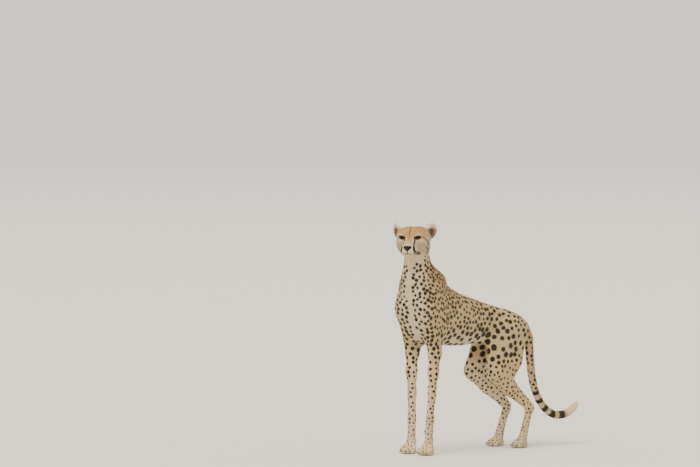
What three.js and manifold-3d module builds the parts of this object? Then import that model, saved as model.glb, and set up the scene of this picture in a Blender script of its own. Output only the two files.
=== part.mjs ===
// A standing adult cheetah, life size, as a still museum model.
//
// The body is one smooth form, blended from muscles and bones, and then parted with thin cuts into head,
// neck, trunk, tail and legs. It is first laid out straight, facing -Y with its left side at +X and the floor
// at z = 0, and then posed: the spine bends sideways and the head turns to the animal's left.
// All sizes are in millimetres.

import * as THREE from "three";
import { mergeVertices } from "three/addons/utils/BufferGeometryUtils.js";
import Module from "manifold-3d";

const wasm = await Module();
wasm.setup();

// ---------------------------------------------------------------- driving dimensions

const CUT = 0.4; // gap left between neighbouring pieces
const SPINE_BEND = THREE.MathUtils.degToRad(30); // heading change from shoulders to pelvis
const SPINE_BEND_LENGTH = 600; // the stretch of spine that bends
const HEAD_TURN = THREE.MathUtils.degToRad(16); // head turned left of the chest
const NECK_TURN_LOW = 800; // height where the neck starts to turn
const NECK_TURN_HIGH = 920; // height where it has turned fully
const NECK_AXIS_Y = -30; // the vertical axis that the neck turns about

const SCAPULA_TOP = { x: 46, y: 92, z: 784 };
const SHOULDER = { x: 62, y: -40, z: 655 };
const ELBOW = { x: 62, y: 30, z: 455 };
const WRIST = { x: 58, y: 2, z: 160 };
const FORE_KNUCKLE = { x: 58, y: -14, z: 42 };
const HIP = { x: 54, y: 550, z: 545 };
const KNEE = { x: 74, y: 446, z: 352 };
const HOCK = { x: 68, y: 626, z: 172 };
const HIND_KNUCKLE = { x: 66, y: 586, z: 42 };

// How far each foot is advanced.
const FORWARD = { foreLeft: 12, foreRight: -28, hindLeft: -24, hindRight: 24 };

const HEAD = { x: -3, y: -58, z: 980 }; // between the ears, at the height of the eyes
const EYE_RADIUS = 18.5;
const EYE_YAW = THREE.MathUtils.degToRad(14); // each eye looks slightly outward
const EYE = { v: 34.5, u: 61, w: 2 };
const EAR = { v: 80, u: 0, w: 31 };
const EAR_YAW = THREE.MathUtils.degToRad(48); // the cup of the ear faces forward and out

const TAIL_ROOT = { y: 648, z: 556 };

const colours = { tan: 0xcfae7f, pale: 0xe6dcc8, dark: 0x1d1815, claw: 0x3a322b, eye: 0x8a5a22 };

// How finely each part's surface is divided: the size of the first net's cells, and the faces kept of it.
const NETS = {
  core: { cell: 13, faces: 1780 },
  head: { cell: 5, faces: 1420 },
  nose: { cell: 4, faces: 100 },
  tail: { cell: 8, faces: 380 },
  shin: { cell: 8.8, faces: 250 },
  foot: { cell: 5.3, faces: 225 },
};

// ---------------------------------------------------------------- forms

// A form is a function of a point: zero on its surface, negative inside, and near the surface the distance.

const ellipsoid = ([cx, cy, cz], [rx, ry, rz], { pitch = 0, roll = 0, yaw = 0 } = {}) => {
  const turn = new THREE.Matrix4().makeRotationFromEuler(new THREE.Euler(pitch, roll, yaw)).invert().elements;
  return (x, y, z) => {
    const dx = x - cx;
    const dy = y - cy;
    const dz = z - cz;
    const a = (turn[0] * dx + turn[4] * dy + turn[8] * dz) / rx;
    const b = (turn[1] * dx + turn[5] * dy + turn[9] * dz) / ry;
    const c = (turn[2] * dx + turn[6] * dy + turn[10] * dz) / rz;
    const near = Math.sqrt(a * a + b * b + c * c);
    const slope = Math.sqrt((a / rx) ** 2 + (b / ry) ** 2 + (c / rz) ** 2);
    return slope < 1e-9 ? -Math.min(rx, ry, rz) : (near * (near - 1)) / slope;
  };
};

// A limb segment: two balls and the cone between them, narrowed sideways by width.
const segment = ([ax, ay, az], [bx, by, bz], ra, rb, width = 1) => {
  const dx = (bx - ax) / width;
  const dy = by - ay;
  const dz = bz - az;
  const l2 = dx * dx + dy * dy + dz * dz;
  const rr = ra - rb;
  const a2 = l2 - rr * rr;
  return (x, y, z) => {
    const px = (x - ax) / width;
    const py = y - ay;
    const pz = z - az;
    const along = px * dx + py * dy + pz * dz;
    const back = along - l2;
    const cx = px * l2 - dx * along;
    const cy = py * l2 - dy * along;
    const cz = pz * l2 - dz * along;
    const x2 = cx * cx + cy * cy + cz * cz;
    const y2 = along * along * l2;
    const z2 = back * back * l2;
    const k = Math.sign(rr) * rr * rr * x2;
    let d;
    if (Math.sign(back) * a2 * z2 > k) d = Math.sqrt(x2 + z2) / l2 - rb;
    else if (Math.sign(along) * a2 * y2 < k) d = Math.sqrt(x2 + y2) / l2 - ra;
    else d = (Math.sqrt((x2 * a2) / l2) + along * rr) / l2 - ra;
    return d * Math.min(1, width);
  };
};

// Smooth values between stations [t, ...values].
const along = (stations) => {
  const last = stations.length - 1;
  const tangent = (i, j) => {
    const before = stations[Math.max(i - 1, 0)];
    const after = stations[Math.min(i + 1, last)];
    return (after[j] - before[j]) / (after[0] - before[0]);
  };
  return (t, j) => {
    if (t <= stations[0][0]) return stations[0][j];
    if (t >= stations[last][0]) return stations[last][j];
    let i = 0;
    while (stations[i + 1][0] < t) i++;
    const step = stations[i + 1][0] - stations[i][0];
    const s = (t - stations[i][0]) / step;
    const m0 = tangent(i, j) * step;
    const m1 = tangent(i + 1, j) * step;
    const p0 = stations[i][j];
    const p1 = stations[i + 1][j];
    return p0 + s * m0 + s * s * (3 * (p1 - p0) - 2 * m0 - m1) + s * s * s * (2 * (p0 - p1) + m0 + m1);
  };
};

// A tube with a changing oval section. Stations are [along, low, high, half width]; along is y for the trunk
// and z for the neck. egg widens the section towards its high side.
const tube = (stations, { upright = false, egg = 0, round = 2 } = {}) => {
  const value = along(stations);
  const first = stations[0][0];
  const end = stations.at(-1)[0];
  return (x, y, z) => {
    const t = upright ? z : y;
    const across = upright ? y : z;
    const low = value(t, 1);
    const high = value(t, 2);
    const half = (high - low) / 2;
    const h = (across - (low + high) / 2) / half;
    const wide = value(t, 3) * (1 + egg * Math.max(-1, Math.min(1, h)));
    const radius = (Math.abs(x / wide) ** round + Math.abs(h) ** round) ** (1 / round);
    const side = (radius - 1) * Math.min(half, wide);
    const past = Math.max(first - t, t - end, 0);
    return past > 0 ? Math.hypot(Math.max(side, 0), past) : side;
  };
};

// One form from several, with the creases between them rounded over a width k.
const blend = (k, ...forms) => (x, y, z) => {
  let d = forms[0](x, y, z);
  for (let i = 1; i < forms.length; i++) {
    const e = forms[i](x, y, z);
    const h = Math.max(k - Math.abs(d - e), 0) / k;
    d = Math.min(d, e) - (h * h * k) / 4;
  }
  return d;
};

const carve = (k, form, tool) => (x, y, z) => {
  const d = form(x, y, z);
  const e = -tool(x, y, z);
  const h = Math.max(k - Math.abs(d - e), 0) / k;
  return Math.max(d, e) + (h * h * k) / 4;
};

const mirrored = (form) => (x, y, z) => form(Math.abs(x - HEAD.x) + HEAD.x, y, z);
const bothSides = (form) => (x, y, z) => form(Math.abs(x), y, z);

// ---------------------------------------------------------------- trunk, neck and tail

// [y, belly, back, half width]
const TRUNK = [
  [-40, 566, 730, 60],
  [0, 524, 776, 78],
  [60, 500, 796, 86],
  [120, 487, 783, 92],
  [180, 480, 756, 97],
  [240, 476, 729, 98],
  [300, 476, 709, 93],
  [360, 481, 691, 85],
  [420, 489, 673, 77],
  [480, 497, 655, 73],
  [540, 500, 638, 74],
  [590, 502, 616, 68],
  [630, 514, 588, 52],
  [658, 532, 560, 28],
];

// [z, throat, nape, half width]
const NECK = [
  [520, -8, 80, 40],
  [560, -42, 90, 56],
  [600, -66, 110, 74],
  [650, -82, 120, 88],
  [700, -90, 125, 97],
  [740, -94, 125, 101],
  [770, -95, 120, 97],
  [797, -95, 112, 86],
  [826, -93, 98, 73],
  [845, -92, 78, 66],
  [862, -91, 58, 61],
  [885, -89, 44, 57],
  [915, -82, 32, 54],
  [945, -68, 14, 48],
];

const trunkForm = blend(
  30,
  tube(TRUNK, { egg: 0.06, round: 2.2 }),
  bothSides(ellipsoid([44, 562, 562], [42, 82, 50], { pitch: -0.3 })), // rump
);
const neckForm = tube(NECK, { upright: true, round: 2.15 });

const tailCurve = new THREE.CatmullRomCurve3(
  [
    [0, TAIL_ROOT.y - 60, TAIL_ROOT.z + 26],
    [0, TAIL_ROOT.y, TAIL_ROOT.z],
    [1, TAIL_ROOT.y + 30, TAIL_ROOT.z - 46],
    [3, TAIL_ROOT.y + 38, TAIL_ROOT.z - 120],
    [6, TAIL_ROOT.y + 44, TAIL_ROOT.z - 205],
    [9, TAIL_ROOT.y + 60, TAIL_ROOT.z - 290],
    [12, TAIL_ROOT.y + 98, TAIL_ROOT.z - 366],
    [15, TAIL_ROOT.y + 160, TAIL_ROOT.z - 414],
    [17, TAIL_ROOT.y + 232, TAIL_ROOT.z - 410],
    [18, TAIL_ROOT.y + 284, TAIL_ROOT.z - 366],
  ].map((p) => new THREE.Vector3(...p)),
);
const TAIL_RADII = [[0, 34], [0.1, 27], [0.2, 22], [0.5, 19], [0.75, 18.5], [0.9, 20], [0.97, 18], [1, 13]];
const TAIL_STEPS = 26;
const TAIL_ROOT_CUT = 4 / TAIL_STEPS; // where the tail is parted from the rump, along its length
const TAIL_PARTS = [0.42, 0.7];
const tailRadius = along(TAIL_RADII);
const tailLengths = (from, to) =>
  Array.from({ length: to - from }, (_, i) => {
    const a = (from + i) / TAIL_STEPS;
    const b = (from + i + 1) / TAIL_STEPS;
    const ends = [tailCurve.getPointAt(a).toArray(), tailCurve.getPointAt(b).toArray()];
    return segment(...ends, tailRadius(a, 1), tailRadius(b, 1));
  });
const TAIL_ROOT_STEPS = 4;
const tailRootForm = blend(6, ...tailLengths(0, TAIL_ROOT_STEPS));
const tailForm = blend(6, ...tailLengths(1, TAIL_STEPS));

// ---------------------------------------------------------------- legs, built for one side at +X

const moved = (joint, forward = 0) => [joint.x, joint.y - forward, joint.z];

// Toes fan out from the knuckles; the two middle ones reach further forward.
const TOE = 12.6; // radius of a toe
const TOE_TIP = 11.5; // and of its tip
const TOES = [
  { x: -27, reach: 34 },
  { x: -9.5, reach: 47 },
  { x: 9.5, reach: 47 },
  { x: 27, reach: 34 },
];
const HIND_FOOT_SIZE = 0.94;

const pawForm = ([x, y, z], size) => {
  const pad = ellipsoid([x, y + 4, 13], [27 * size, 27 * size, 18]);
  const bridge = ellipsoid([x, y - 6, 28], [27 * size, 24 * size, 17]);
  const toes = TOES.map((toe) =>
    blend(
      5,
      segment(
        [x + toe.x * 0.8 * size, y - 6, 30],
        [x + toe.x * size, y - (toe.reach - 6) * size, 20],
        TOE,
        TOE,
      ),
      segment(
        [x + toe.x * size, y - (toe.reach - 8) * size, 14],
        [x + toe.x * size, y - toe.reach * size, 12],
        TOE,
        TOE_TIP,
        1.04,
      ),
    ),
  );
  const pastern = segment([x, y + 8, z + 16], [x, y - 2, z - 8], 19, 22);
  return blend(4, blend(14, pad, bridge, pastern), ...toes);
};

const forelegForm = (forward) => {
  const elbow = moved(ELBOW, forward * 0.15);
  const wrist = moved(WRIST, forward * 0.8);
  const knuckle = moved(FORE_KNUCKLE, forward);
  const [, ey] = elbow;
  const shoulder = moved(SHOULDER);
  const bladeTop = moved(SCAPULA_TOP);
  return blend(
    14,
    blend(
      26,
      segment(bladeTop, shoulder, 28, 38, 0.75), // shoulder blade
      segment([58, 20, 700], [60, -20, 680], 42, 44, 0.8), // shoulder muscles
      segment(shoulder, elbow, 38, 31, 0.84), // upper arm
      ellipsoid([56, 46, 592], [34, 54, 92], { pitch: 0.22 }), // triceps
      segment([60, ey + 24, 500], [62, ey + 16, 472], 20, 17), // point of the elbow
      segment(elbow, [60, ey - 10, 370], 30, 25, 0.86), // forearm
      segment([60, ey - 10, 370], [59, (ey + wrist[1]) / 2 - 2, 270], 24.5, 20, 0.88),
    ),
    segment([59, (ey + wrist[1]) / 2 - 2, 280], wrist, 20, 18.5, 0.92),
    segment(wrist, [knuckle[0], knuckle[1] + 6, knuckle[2] + 20], 19.5, 18.5, 0.95),
    ellipsoid([wrist[0], wrist[1] + 15, wrist[2] - 10], [9, 10, 12]), // carpal pad
    ellipsoid([wrist[0] - 16, wrist[1] - 6, 108], [8, 9, 11]), // base of the dew claw
    pawForm(knuckle, 1),
  );
};

const hindlegForm = (forward) => {
  const hip = moved(HIP);
  const knee = moved(KNEE, forward * 0.3);
  const hock = moved(HOCK, forward * 0.9);
  const knuckle = moved(HIND_KNUCKLE, forward);
  const [, ky] = knee;
  const [, hy] = hock;
  const calf = [72, ky + 70, 276];
  return blend(
    12,
    blend(
      30,
      segment(hip, knee, 62, 44, 0.74), // thigh bone and its front muscles
      ellipsoid([58, 500, 478], [40, 66, 112], { pitch: -0.42 }),
      segment([52, 446, 488], [66, ky - 2, 392], 20, 26), // fold from flank to knee
      segment([48, 610, 530], [64, ky + 110, 402], 42, 40, 0.8), // hamstrings
      segment([64, ky + 110, 402], [70, ky + 72, 326], 38, 31, 0.8),
      segment(knee, calf, 38, 28, 0.86), // shank
      segment(calf, [hock[0], hy - 10, hock[2] + 18], 28, 17, 0.86),
    ),
    segment([71, ky + 98, 298], [hock[0], hy + 15, hock[2] + 20], 18, 10, 0.8), // heel tendon
    ellipsoid([hock[0], hy + 17, hock[2] + 12], [12, 13, 20], { pitch: 0.3 }), // point of the hock
    segment(hock, [knuckle[0], knuckle[1] + 8, knuckle[2] + 20], 19.5, 18, 0.88),
    pawForm(knuckle, HIND_FOOT_SIZE),
  );
};

const onSide = (side, form) => (x, y, z) => form(side * x, y, z);
const LEGS = [
  { name: "fore", side: 1, forward: FORWARD.foreLeft },
  { name: "fore", side: -1, forward: FORWARD.foreRight },
  { name: "hind", side: 1, forward: FORWARD.hindLeft },
  { name: "hind", side: -1, forward: FORWARD.hindRight },
].map((leg) => {
  const made = leg.name === "fore" ? forelegForm(leg.forward) : hindlegForm(leg.forward);
  return { ...leg, form: onSide(leg.side, made) };
});

// ---------------------------------------------------------------- head

// Places on the head: v to the side, u forward and w up from the point between the ears at eye height.
const face = (v, u, w) => [HEAD.x + v, HEAD.y - u, HEAD.z + w];

const skullForm = blend(
  14,
  blend(
    20,
    ellipsoid(face(0, -16, 2), [60, 64, 44]), // braincase
    mirrored(ellipsoid(face(29, 4, 17), [40, 50, 31])), // sides of the crown
    ellipsoid(face(0, 40, 14), [42, 36, 32]), // forehead
    mirrored(ellipsoid(face(44, 30, -20), [31, 42, 25])), // cheekbones
    mirrored(ellipsoid(face(42, 8, -40), [34, 46, 38])), // jaw muscles
  ),
  mirrored(ellipsoid(face(33, 58, 20), [21, 18, 9], { yaw: -0.35 })), // brows
  segment(face(0, 56, -32), face(0, 90, -46), 36, 29, 1.04), // muzzle
  segment(face(0, 56, 2), face(0, 102, -34), 21, 15.5, 1.1), // bridge of the nose
  mirrored(ellipsoid(face(17, 97, -57), [19, 20, 17])), // whisker pads
  segment(face(0, 91, -70), face(0, 20, -64), 16, 33, 1.08), // lower jaw
);
const lidForm = mirrored(ellipsoid(face(EYE.v, EYE.u, EYE.w), [21.6, 21.6, 20.6]));

const earForm = (() => {
  const [x, y, z] = face(EAR.v, EAR.u, EAR.w);
  const lean = { roll: 0.16, yaw: EAR_YAW };
  const ahead = (d) => [x + d * Math.sin(EAR_YAW), y - d * Math.cos(EAR_YAW), z - 1];
  const shell = ellipsoid([x, y, z], [29, 13, 36], lean);
  const cup = ellipsoid(ahead(14), [22, 15, 28], lean);
  const root = segment(face(52, -6, 2), face(68, -2, 16), 27, 21);
  return blend(10, carve(5, shell, cup), root);
})();

const headForm = blend(10, blend(8, skullForm, lidForm), mirrored(earForm));
const noseForm = blend(
  5,
  ellipsoid(face(0, 110, -40), [21, 13, 9]),
  ellipsoid(face(0, 112, -50), [10, 10, 13]),
);

const coreForm = blend(
  14,
  blend(34, blend(46, trunkForm, neckForm), ...LEGS.map((leg) => leg.form)),
  tailRootForm,
);
const frontForm = blend(30, blend(46, trunkForm, neckForm), headForm);

// ---------------------------------------------------------------- from form to mesh

const RELAX_PASSES = 3;
const BLOCK = 4; // cells along a block, which is skipped when the surface is far from it

// Moves a point onto the surface of a form.
const settle = (form, reach, p) => {
  let [x, y, z] = p;
  const e = 0.05 * reach;
  for (let pass = 0; pass < 2; pass++) {
    const d = form(x, y, z);
    const gx = (form(x + e, y, z) - d) / e;
    const gy = (form(x, y + e, z) - d) / e;
    const gz = (form(x, y, z + e) - d) / e;
    const slope = Math.max(gx * gx + gy * gy + gz * gz, 0.1);
    const step = Math.max(-reach / 2, Math.min(reach / 2, d / slope));
    x -= step * gx;
    y -= step * gy;
    z -= step * gz;
  }
  return [x, y, z];
};

// The form's values on a grid of cells over a box, with one block of cells spare around it.
const sampled = (form, low, high, cell) => {
  const origin = low.map((c) => c - 1.5 * cell);
  const size = low.map((c, axis) => Math.ceil((high[axis] - c) / cell / BLOCK + 1) * BLOCK);
  const [nx, ny, nz] = size;
  const index = (i, j, k) => i + nx * (j + ny * k);
  const place = (...at) => at.map((n, axis) => origin[axis] + n * cell);
  const values = new Float32Array(nx * ny * nz);
  const fill = (i0, j0, k0) => {
    const middle = form(...place(i0 + BLOCK / 2, j0 + BLOCK / 2, k0 + BLOCK / 2));
    const far = Math.abs(middle) > 2 * BLOCK * cell;
    for (let k = k0; k < k0 + BLOCK; k++)
      for (let j = j0; j < j0 + BLOCK; j++)
        for (let i = i0; i < i0 + BLOCK; i++)
          values[index(i, j, k)] = far ? middle : form(...place(i, j, k)) || 1e-6;
  };
  for (let k = 0; k < nz; k += BLOCK)
    for (let j = 0; j < ny; j += BLOCK) for (let i = 0; i < nx; i += BLOCK) fill(i, j, k);
  return { values, size, index, place };
};

const CORNERS = Array.from({ length: 8 }, (_, c) => [c & 1, (c >> 1) & 1, c >> 2]);
const EDGES = CORNERS.flatMap((_, a) => [1, 2, 4].filter((bit) => !(a & bit)).map((bit) => [a, a | bit]));

// The middle of the places where a cell's edges cross the surface, or nothing.
const crossing = ({ values, index, place }, i, j, k) => {
  const corner = ([di, dj, dk]) => values[index(i + di, j + dj, k + dk)];
  const at = (n) => corner(CORNERS[n]);
  const crossed = EDGES.filter(([a, b]) => at(a) < 0 !== at(b) < 0);
  if (!crossed.length) return null;
  const middle = [0, 1, 2].map((axis) => {
    const spots = crossed.map(([a, b]) => {
      const t = at(a) / (at(a) - at(b));
      return CORNERS[a][axis] + t * (CORNERS[b][axis] - CORNERS[a][axis]);
    });
    return spots.reduce((sum, spot) => sum + spot, 0) / spots.length;
  });
  return place(i + middle[0], j + middle[1], k + middle[2]);
};

// Slides points to the middle of their neighbours and back onto the surface, which evens out the net.
const relaxed = (form, cell, points, quads) => {
  const neighbours = points.map(() => new Set());
  for (const ring of quads)
    ring.forEach((p, n) => neighbours[p].add(ring[(n + 1) % 4]).add(ring[(n + 3) % 4]));
  let even = points.map((p) => settle(form, cell, p));
  for (let pass = 0; pass < RELAX_PASSES; pass++)
    even = even.map((p, n) => {
      const around = [...neighbours[n]];
      const middle = [0, 1, 2].map((c) => around.reduce((sum, m) => sum + even[m][c], 0) / around.length);
      return settle(form, cell, p.map((c, axis) => (c + middle[axis]) / 2));
    });
  return even;
};

// Wraps the form inside a box in a net: one point in each cell that the surface crosses, drawn onto it.
const net = (form, low, high, cell) => {
  const boxed = (x, y, z) =>
    Math.max(form(x, y, z), low[0] - x, x - high[0], low[1] - y, y - high[1], low[2] - z, z - high[2]);
  const grid = sampled(boxed, low, high, cell);
  const [nx, ny, nz] = grid.size;
  const points = [];
  const pointOf = new Map();
  for (let k = 0; k < nz - 1; k++)
    for (let j = 0; j < ny - 1; j++)
      for (let i = 0; i < nx - 1; i++) {
        const point = crossing(grid, i, j, k);
        if (!point) continue;
        pointOf.set(grid.index(i, j, k), points.length);
        points.push(point);
      }
  const steps = [1, nx, nx * ny];
  const quads = [];
  for (const at of pointOf.keys())
    for (let axis = 0; axis < 3; axis++) {
      const inside = grid.values[at] < 0;
      if (inside === grid.values[at + steps[axis]] < 0) continue;
      const p = steps[(axis + 1) % 3];
      const q = steps[(axis + 2) % 3];
      const ring = [at, at - p, at - p - q, at - q].map((c) => pointOf.get(c));
      quads.push(inside ? ring : ring.reverse());
    }
  const even = relaxed(boxed, cell, points, quads);
  const gap = (a, b) => Math.hypot(...minus(even[a], even[b]));
  const faces = quads.flatMap(([a, b, c, d]) =>
    gap(a, c) < gap(b, d) ? [[a, b, c], [a, c, d]] : [[a, b, d], [b, c, d]],
  );
  return { points: even, faces, form: boxed, cell };
};

const minus = (a, b) => [a[0] - b[0], a[1] - b[1], a[2] - b[2]];
const cross = (a, b) => [a[1] * b[2] - a[2] * b[1], a[2] * b[0] - a[0] * b[2], a[0] * b[1] - a[1] * b[0]];
const dot = (a, b) => a[0] * b[0] + a[1] * b[1] + a[2] * b[2];

const SLIVER_WEIGHT = 0.004; // how much an edge's length counts against closing it
const SWEEP_SHARE = 0.12; // the share of the faces that one sweep may take
const LEAST_TURN = 0.5; // cosine of the most that a face may turn when an edge is closed
const LEAST_SHAPE = 0.12; // twice a face's area over its longest side squared

const planeOf = (p, q, r) => {
  const n = cross(minus(q, p), minus(r, p));
  const size = Math.hypot(...n);
  return { n: n.map((c) => c / size), size, at: dot(n, p) / size };
};

// The edges of a net with the middle of each and what it costs to close it up to there.
const edgesByCost = (points, faces, planes, facesOf) => {
  const bend = (p, at) =>
    facesOf[p].reduce((sum, i) => sum + planes[i].size * (dot(planes[i].n, at) - planes[i].at) ** 2, 0);
  const edges = [];
  faces.forEach((face, i) =>
    face.forEach((a, c) => {
      const b = face[(c + 1) % 3];
      if (a > b) return;
      const at = points[a].map((v, axis) => (v + points[b][axis]) / 2);
      const length = Math.hypot(...minus(points[a], points[b]));
      const sliver = SLIVER_WEIGHT * length ** 2 * planes[i].size;
      edges.push({ a, b, at, cost: bend(a, at) + bend(b, at) + sliver });
    }),
  );
  return edges.sort((p, q) => p.cost - q.cost);
};

// One sweep over the edges, cheapest first: closes up to \`allowed\` faces' worth, none next to each other.
const sweep = ({ points, faces, form, cell }, allowed) => {
  const planes = faces.map((face) => planeOf(...face.map((p) => points[p])));
  const facesOf = points.map(() => []);
  faces.forEach((face, i) => face.forEach((p) => facesOf[p].push(i)));
  const ringOf = (p) => new Set(facesOf[p].flatMap((i) => faces[i]));
  const spoilt = (i, a, b, spot) => {
    if (faces[i].includes(a) && faces[i].includes(b)) return false;
    const corners = faces[i].map((c) => (c === a || c === b ? spot : points[c]));
    const plane = planeOf(...corners);
    const longest = Math.max(...corners.map((c, n) => Math.hypot(...minus(c, corners[(n + 1) % 3]))));
    return dot(plane.n, planes[i].n) < LEAST_TURN || plane.size < LEAST_SHAPE * longest ** 2;
  };
  const busy = new Set();
  const gone = new Set();
  const renamed = new Map();
  for (const { a, b, at } of edgesByCost(points, faces, planes, facesOf)) {
    if (gone.size >= allowed) break;
    if (busy.has(a) || busy.has(b)) continue;
    const ringA = ringOf(a);
    const ringB = ringOf(b);
    if ([...ringA].filter((p) => ringB.has(p)).length !== 4) continue;
    const spot = settle(form, cell, at);
    const around = [...facesOf[a], ...facesOf[b]];
    if (around.some((i) => spoilt(i, a, b, spot))) continue;
    points[a] = spot;
    renamed.set(b, a);
    around.filter((i) => faces[i].includes(a) && faces[i].includes(b)).forEach((i) => gone.add(i));
    for (const p of [...ringA, ...ringB]) busy.add(p);
  }
  return faces.filter((_, i) => !gone.has(i)).map((face) => face.map((p) => renamed.get(p) ?? p));
};

// Thins a net out to about the wanted number of faces: in each sweep the edges whose loss bends the surface
// least are closed up to a point on the form.
const meshed = (form, low, high, { cell, faces: wanted }) => {
  const made = net(form, low, high, cell);
  let before = Infinity;
  while (made.faces.length > wanted && made.faces.length < before) {
    before = made.faces.length;
    made.faces = sweep(made, Math.min(before - wanted, Math.ceil(before * SWEEP_SHARE)));
  }
  const geometry = new THREE.BufferGeometry();
  geometry.setAttribute("position", new THREE.Float32BufferAttribute(made.points.flat(), 3));
  geometry.setIndex(made.faces.flat());
  return posed(geometry);
};

// ---------------------------------------------------------------- the pose

const smooth = (t) => {
  const s = Math.min(1, Math.max(0, t));
  return s * s * (3 - 2 * s);
};

// Carries a point of the straight animal into the posed one.
const pose = (p) => {
  const turn = p.y < 150 ? HEAD_TURN * smooth((p.z - NECK_TURN_LOW) / (NECK_TURN_HIGH - NECK_TURN_LOW)) : 0;
  const dx = p.x;
  const dy = p.y - NECK_AXIS_Y;
  const x = dx * Math.cos(turn) - dy * Math.sin(turn);
  const y = NECK_AXIS_Y + dx * Math.sin(turn) + dy * Math.cos(turn);
  const rate = SPINE_BEND / SPINE_BEND_LENGTH;
  const bent = Math.min(SPINE_BEND_LENGTH, Math.max(0, y));
  const chest = SPINE_BEND / 2;
  const heading = chest - rate * bent;
  const midX = (Math.cos(chest) - Math.cos(heading)) / rate - (y - bent) * Math.sin(heading);
  const midY = (Math.sin(chest) - Math.sin(heading)) / rate + (y - bent) * Math.cos(heading);
  return new THREE.Vector3(midX + x * Math.cos(heading), midY + x * Math.sin(heading), p.z);
};

const posed = (geometry) => {
  const position = geometry.getAttribute("position");
  for (let i = 0; i < position.count; i++) {
    const p = pose(new THREE.Vector3().fromBufferAttribute(position, i));
    position.setXYZ(i, p.x, p.y, p.z);
  }
  return geometry;
};

// ---------------------------------------------------------------- solids and cuts

const solidOf = (geometry) => {
  const bare = new THREE.BufferGeometry().setAttribute("position", geometry.getAttribute("position"));
  if (geometry.index) bare.setIndex(geometry.index);
  const merged = mergeVertices(bare, 1e-4);
  return new wasm.Manifold(
    new wasm.Mesh({
      numProp: 3,
      vertProperties: merged.attributes.position.array,
      triVerts: new Uint32Array(merged.index.array),
    }),
  );
};

const UP = new THREE.Vector3(0, 0, 1);
const REACH = 1500; // longer than the animal

// A block that fills the side of a plane that its normal points to. The plane is given on the straight
// animal.
const beyond = (point, normal, gap = 0, size = REACH) => {
  const direction = new THREE.Vector3(...normal).normalize();
  const at = pose(new THREE.Vector3(...point));
  const ahead = pose(new THREE.Vector3(...point).addScaledVector(direction, 5));
  const box = new THREE.BoxGeometry(size, size, size);
  box.translate(0, 0, size / 2 + gap);
  box.applyQuaternion(new THREE.Quaternion().setFromUnitVectors(UP, ahead.sub(at).normalize()));
  return solidOf(box.translate(at.x, at.y, at.z));
};

// The two sides of a thin flat cut: first the side that the normal points to.
const split = (solid, point, normal, size) => [
  solid.intersect(beyond(point, normal, CUT / 2, size)),
  solid.subtract(beyond(point, normal, -CUT / 2, size)),
];

// ---------------------------------------------------------------- the pieces

const pieces = [];
const add = (name, solid, color, roughness = 0.85) => pieces.push({ name, solid, color, roughness });
const sideWord = (side) => (side > 0 ? "left" : "right");

const ELBOW_CUT = [[0, 20, 432], [0, 0, -1]];
const KNEE_CUT = [[0, 486, 318], [0, 0.35, -0.94]];
const WRIST_CUT = [[0, 0, 138], [0, 0, -1]];
const HEAD_CUT = [[0, -22, 918], [0, -0.46, 0.89]];
const NECK_CUT = [[0, 5, 773], [0, -0.39, 0.92]];

// Each limb leaves the trunk inside an oval, seen from the side, and takes everything below the belly.
const OVAL_SEGMENTS = 24;
const WINDOWS = {
  fore: { y: 20, z: 625, ry: 108, rz: 180, inner: 44, below: 484, front: -125, back: 135 },
  hind: { y: 535, z: 480, ry: 128, rz: 172, inner: 34, below: 461, front: 355, back: 720 },
};
const limbWindow = ({ name, side }, gap) => {
  const { y, z, ry, rz, inner, below, front, back } = WINDOWS[name];
  const wide = REACH / 4;
  const oval = new THREE.CylinderGeometry(1, 1, 1, OVAL_SEGMENTS, 1);
  oval.rotateZ(Math.PI / 2);
  oval.scale(wide, ry + gap, rz + gap);
  oval.translate(side * (wide / 2 + inner - gap), y, z);
  const under = new THREE.BoxGeometry(wide, back - front + 2 * gap, below + gap);
  under.translate(side * (wide / 2 + 1 - gap), (front + back) / 2, (below + gap) / 2);
  return solidOf(posed(oval)).add(solidOf(posed(under)));
};

const tailPoint = (t) => [tailCurve.getPointAt(t).toArray(), tailCurve.getTangentAt(t).toArray()];
const STUB_END = 60; // size of the block that trims the end of the tail's stub

// Neck and trunk; returns the part of the body that the legs are cut from.
const makeTrunk = () => {
  const core = solidOf(meshed(coreForm, [-150, -130, 280], [150, 740, 960], NETS.core));
  const [upper, lower] = split(core, ...NECK_CUT);
  add("neck", split(upper, ...HEAD_CUT)[1], colours.tan);
  const stubEnd = beyond(...tailPoint(TAIL_ROOT_CUT), -CUT / 2, STUB_END);
  const cutLeg = (solid, leg) => solid.subtract(limbWindow(leg, CUT / 2));
  add("trunk", LEGS.reduce(cutLeg, lower.subtract(stubEnd)), colours.tan);
  return lower;
};

const makeTail = () => {
  const whole = solidOf(meshed(tailForm, [-40, 600, 90], [60, 980, 620], NETS.tail));
  const afterRoot = whole.intersect(beyond(...tailPoint(TAIL_ROOT_CUT), CUT / 2));
  const [afterBase, base] = split(afterRoot, ...tailPoint(TAIL_PARTS[0]));
  const [tip, middle] = split(afterBase, ...tailPoint(TAIL_PARTS[1]));
  add("tail_base", base, colours.tan);
  add("tail_middle", middle, colours.tan);
  add("tail_tip", tip, colours.tan);
};

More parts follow.
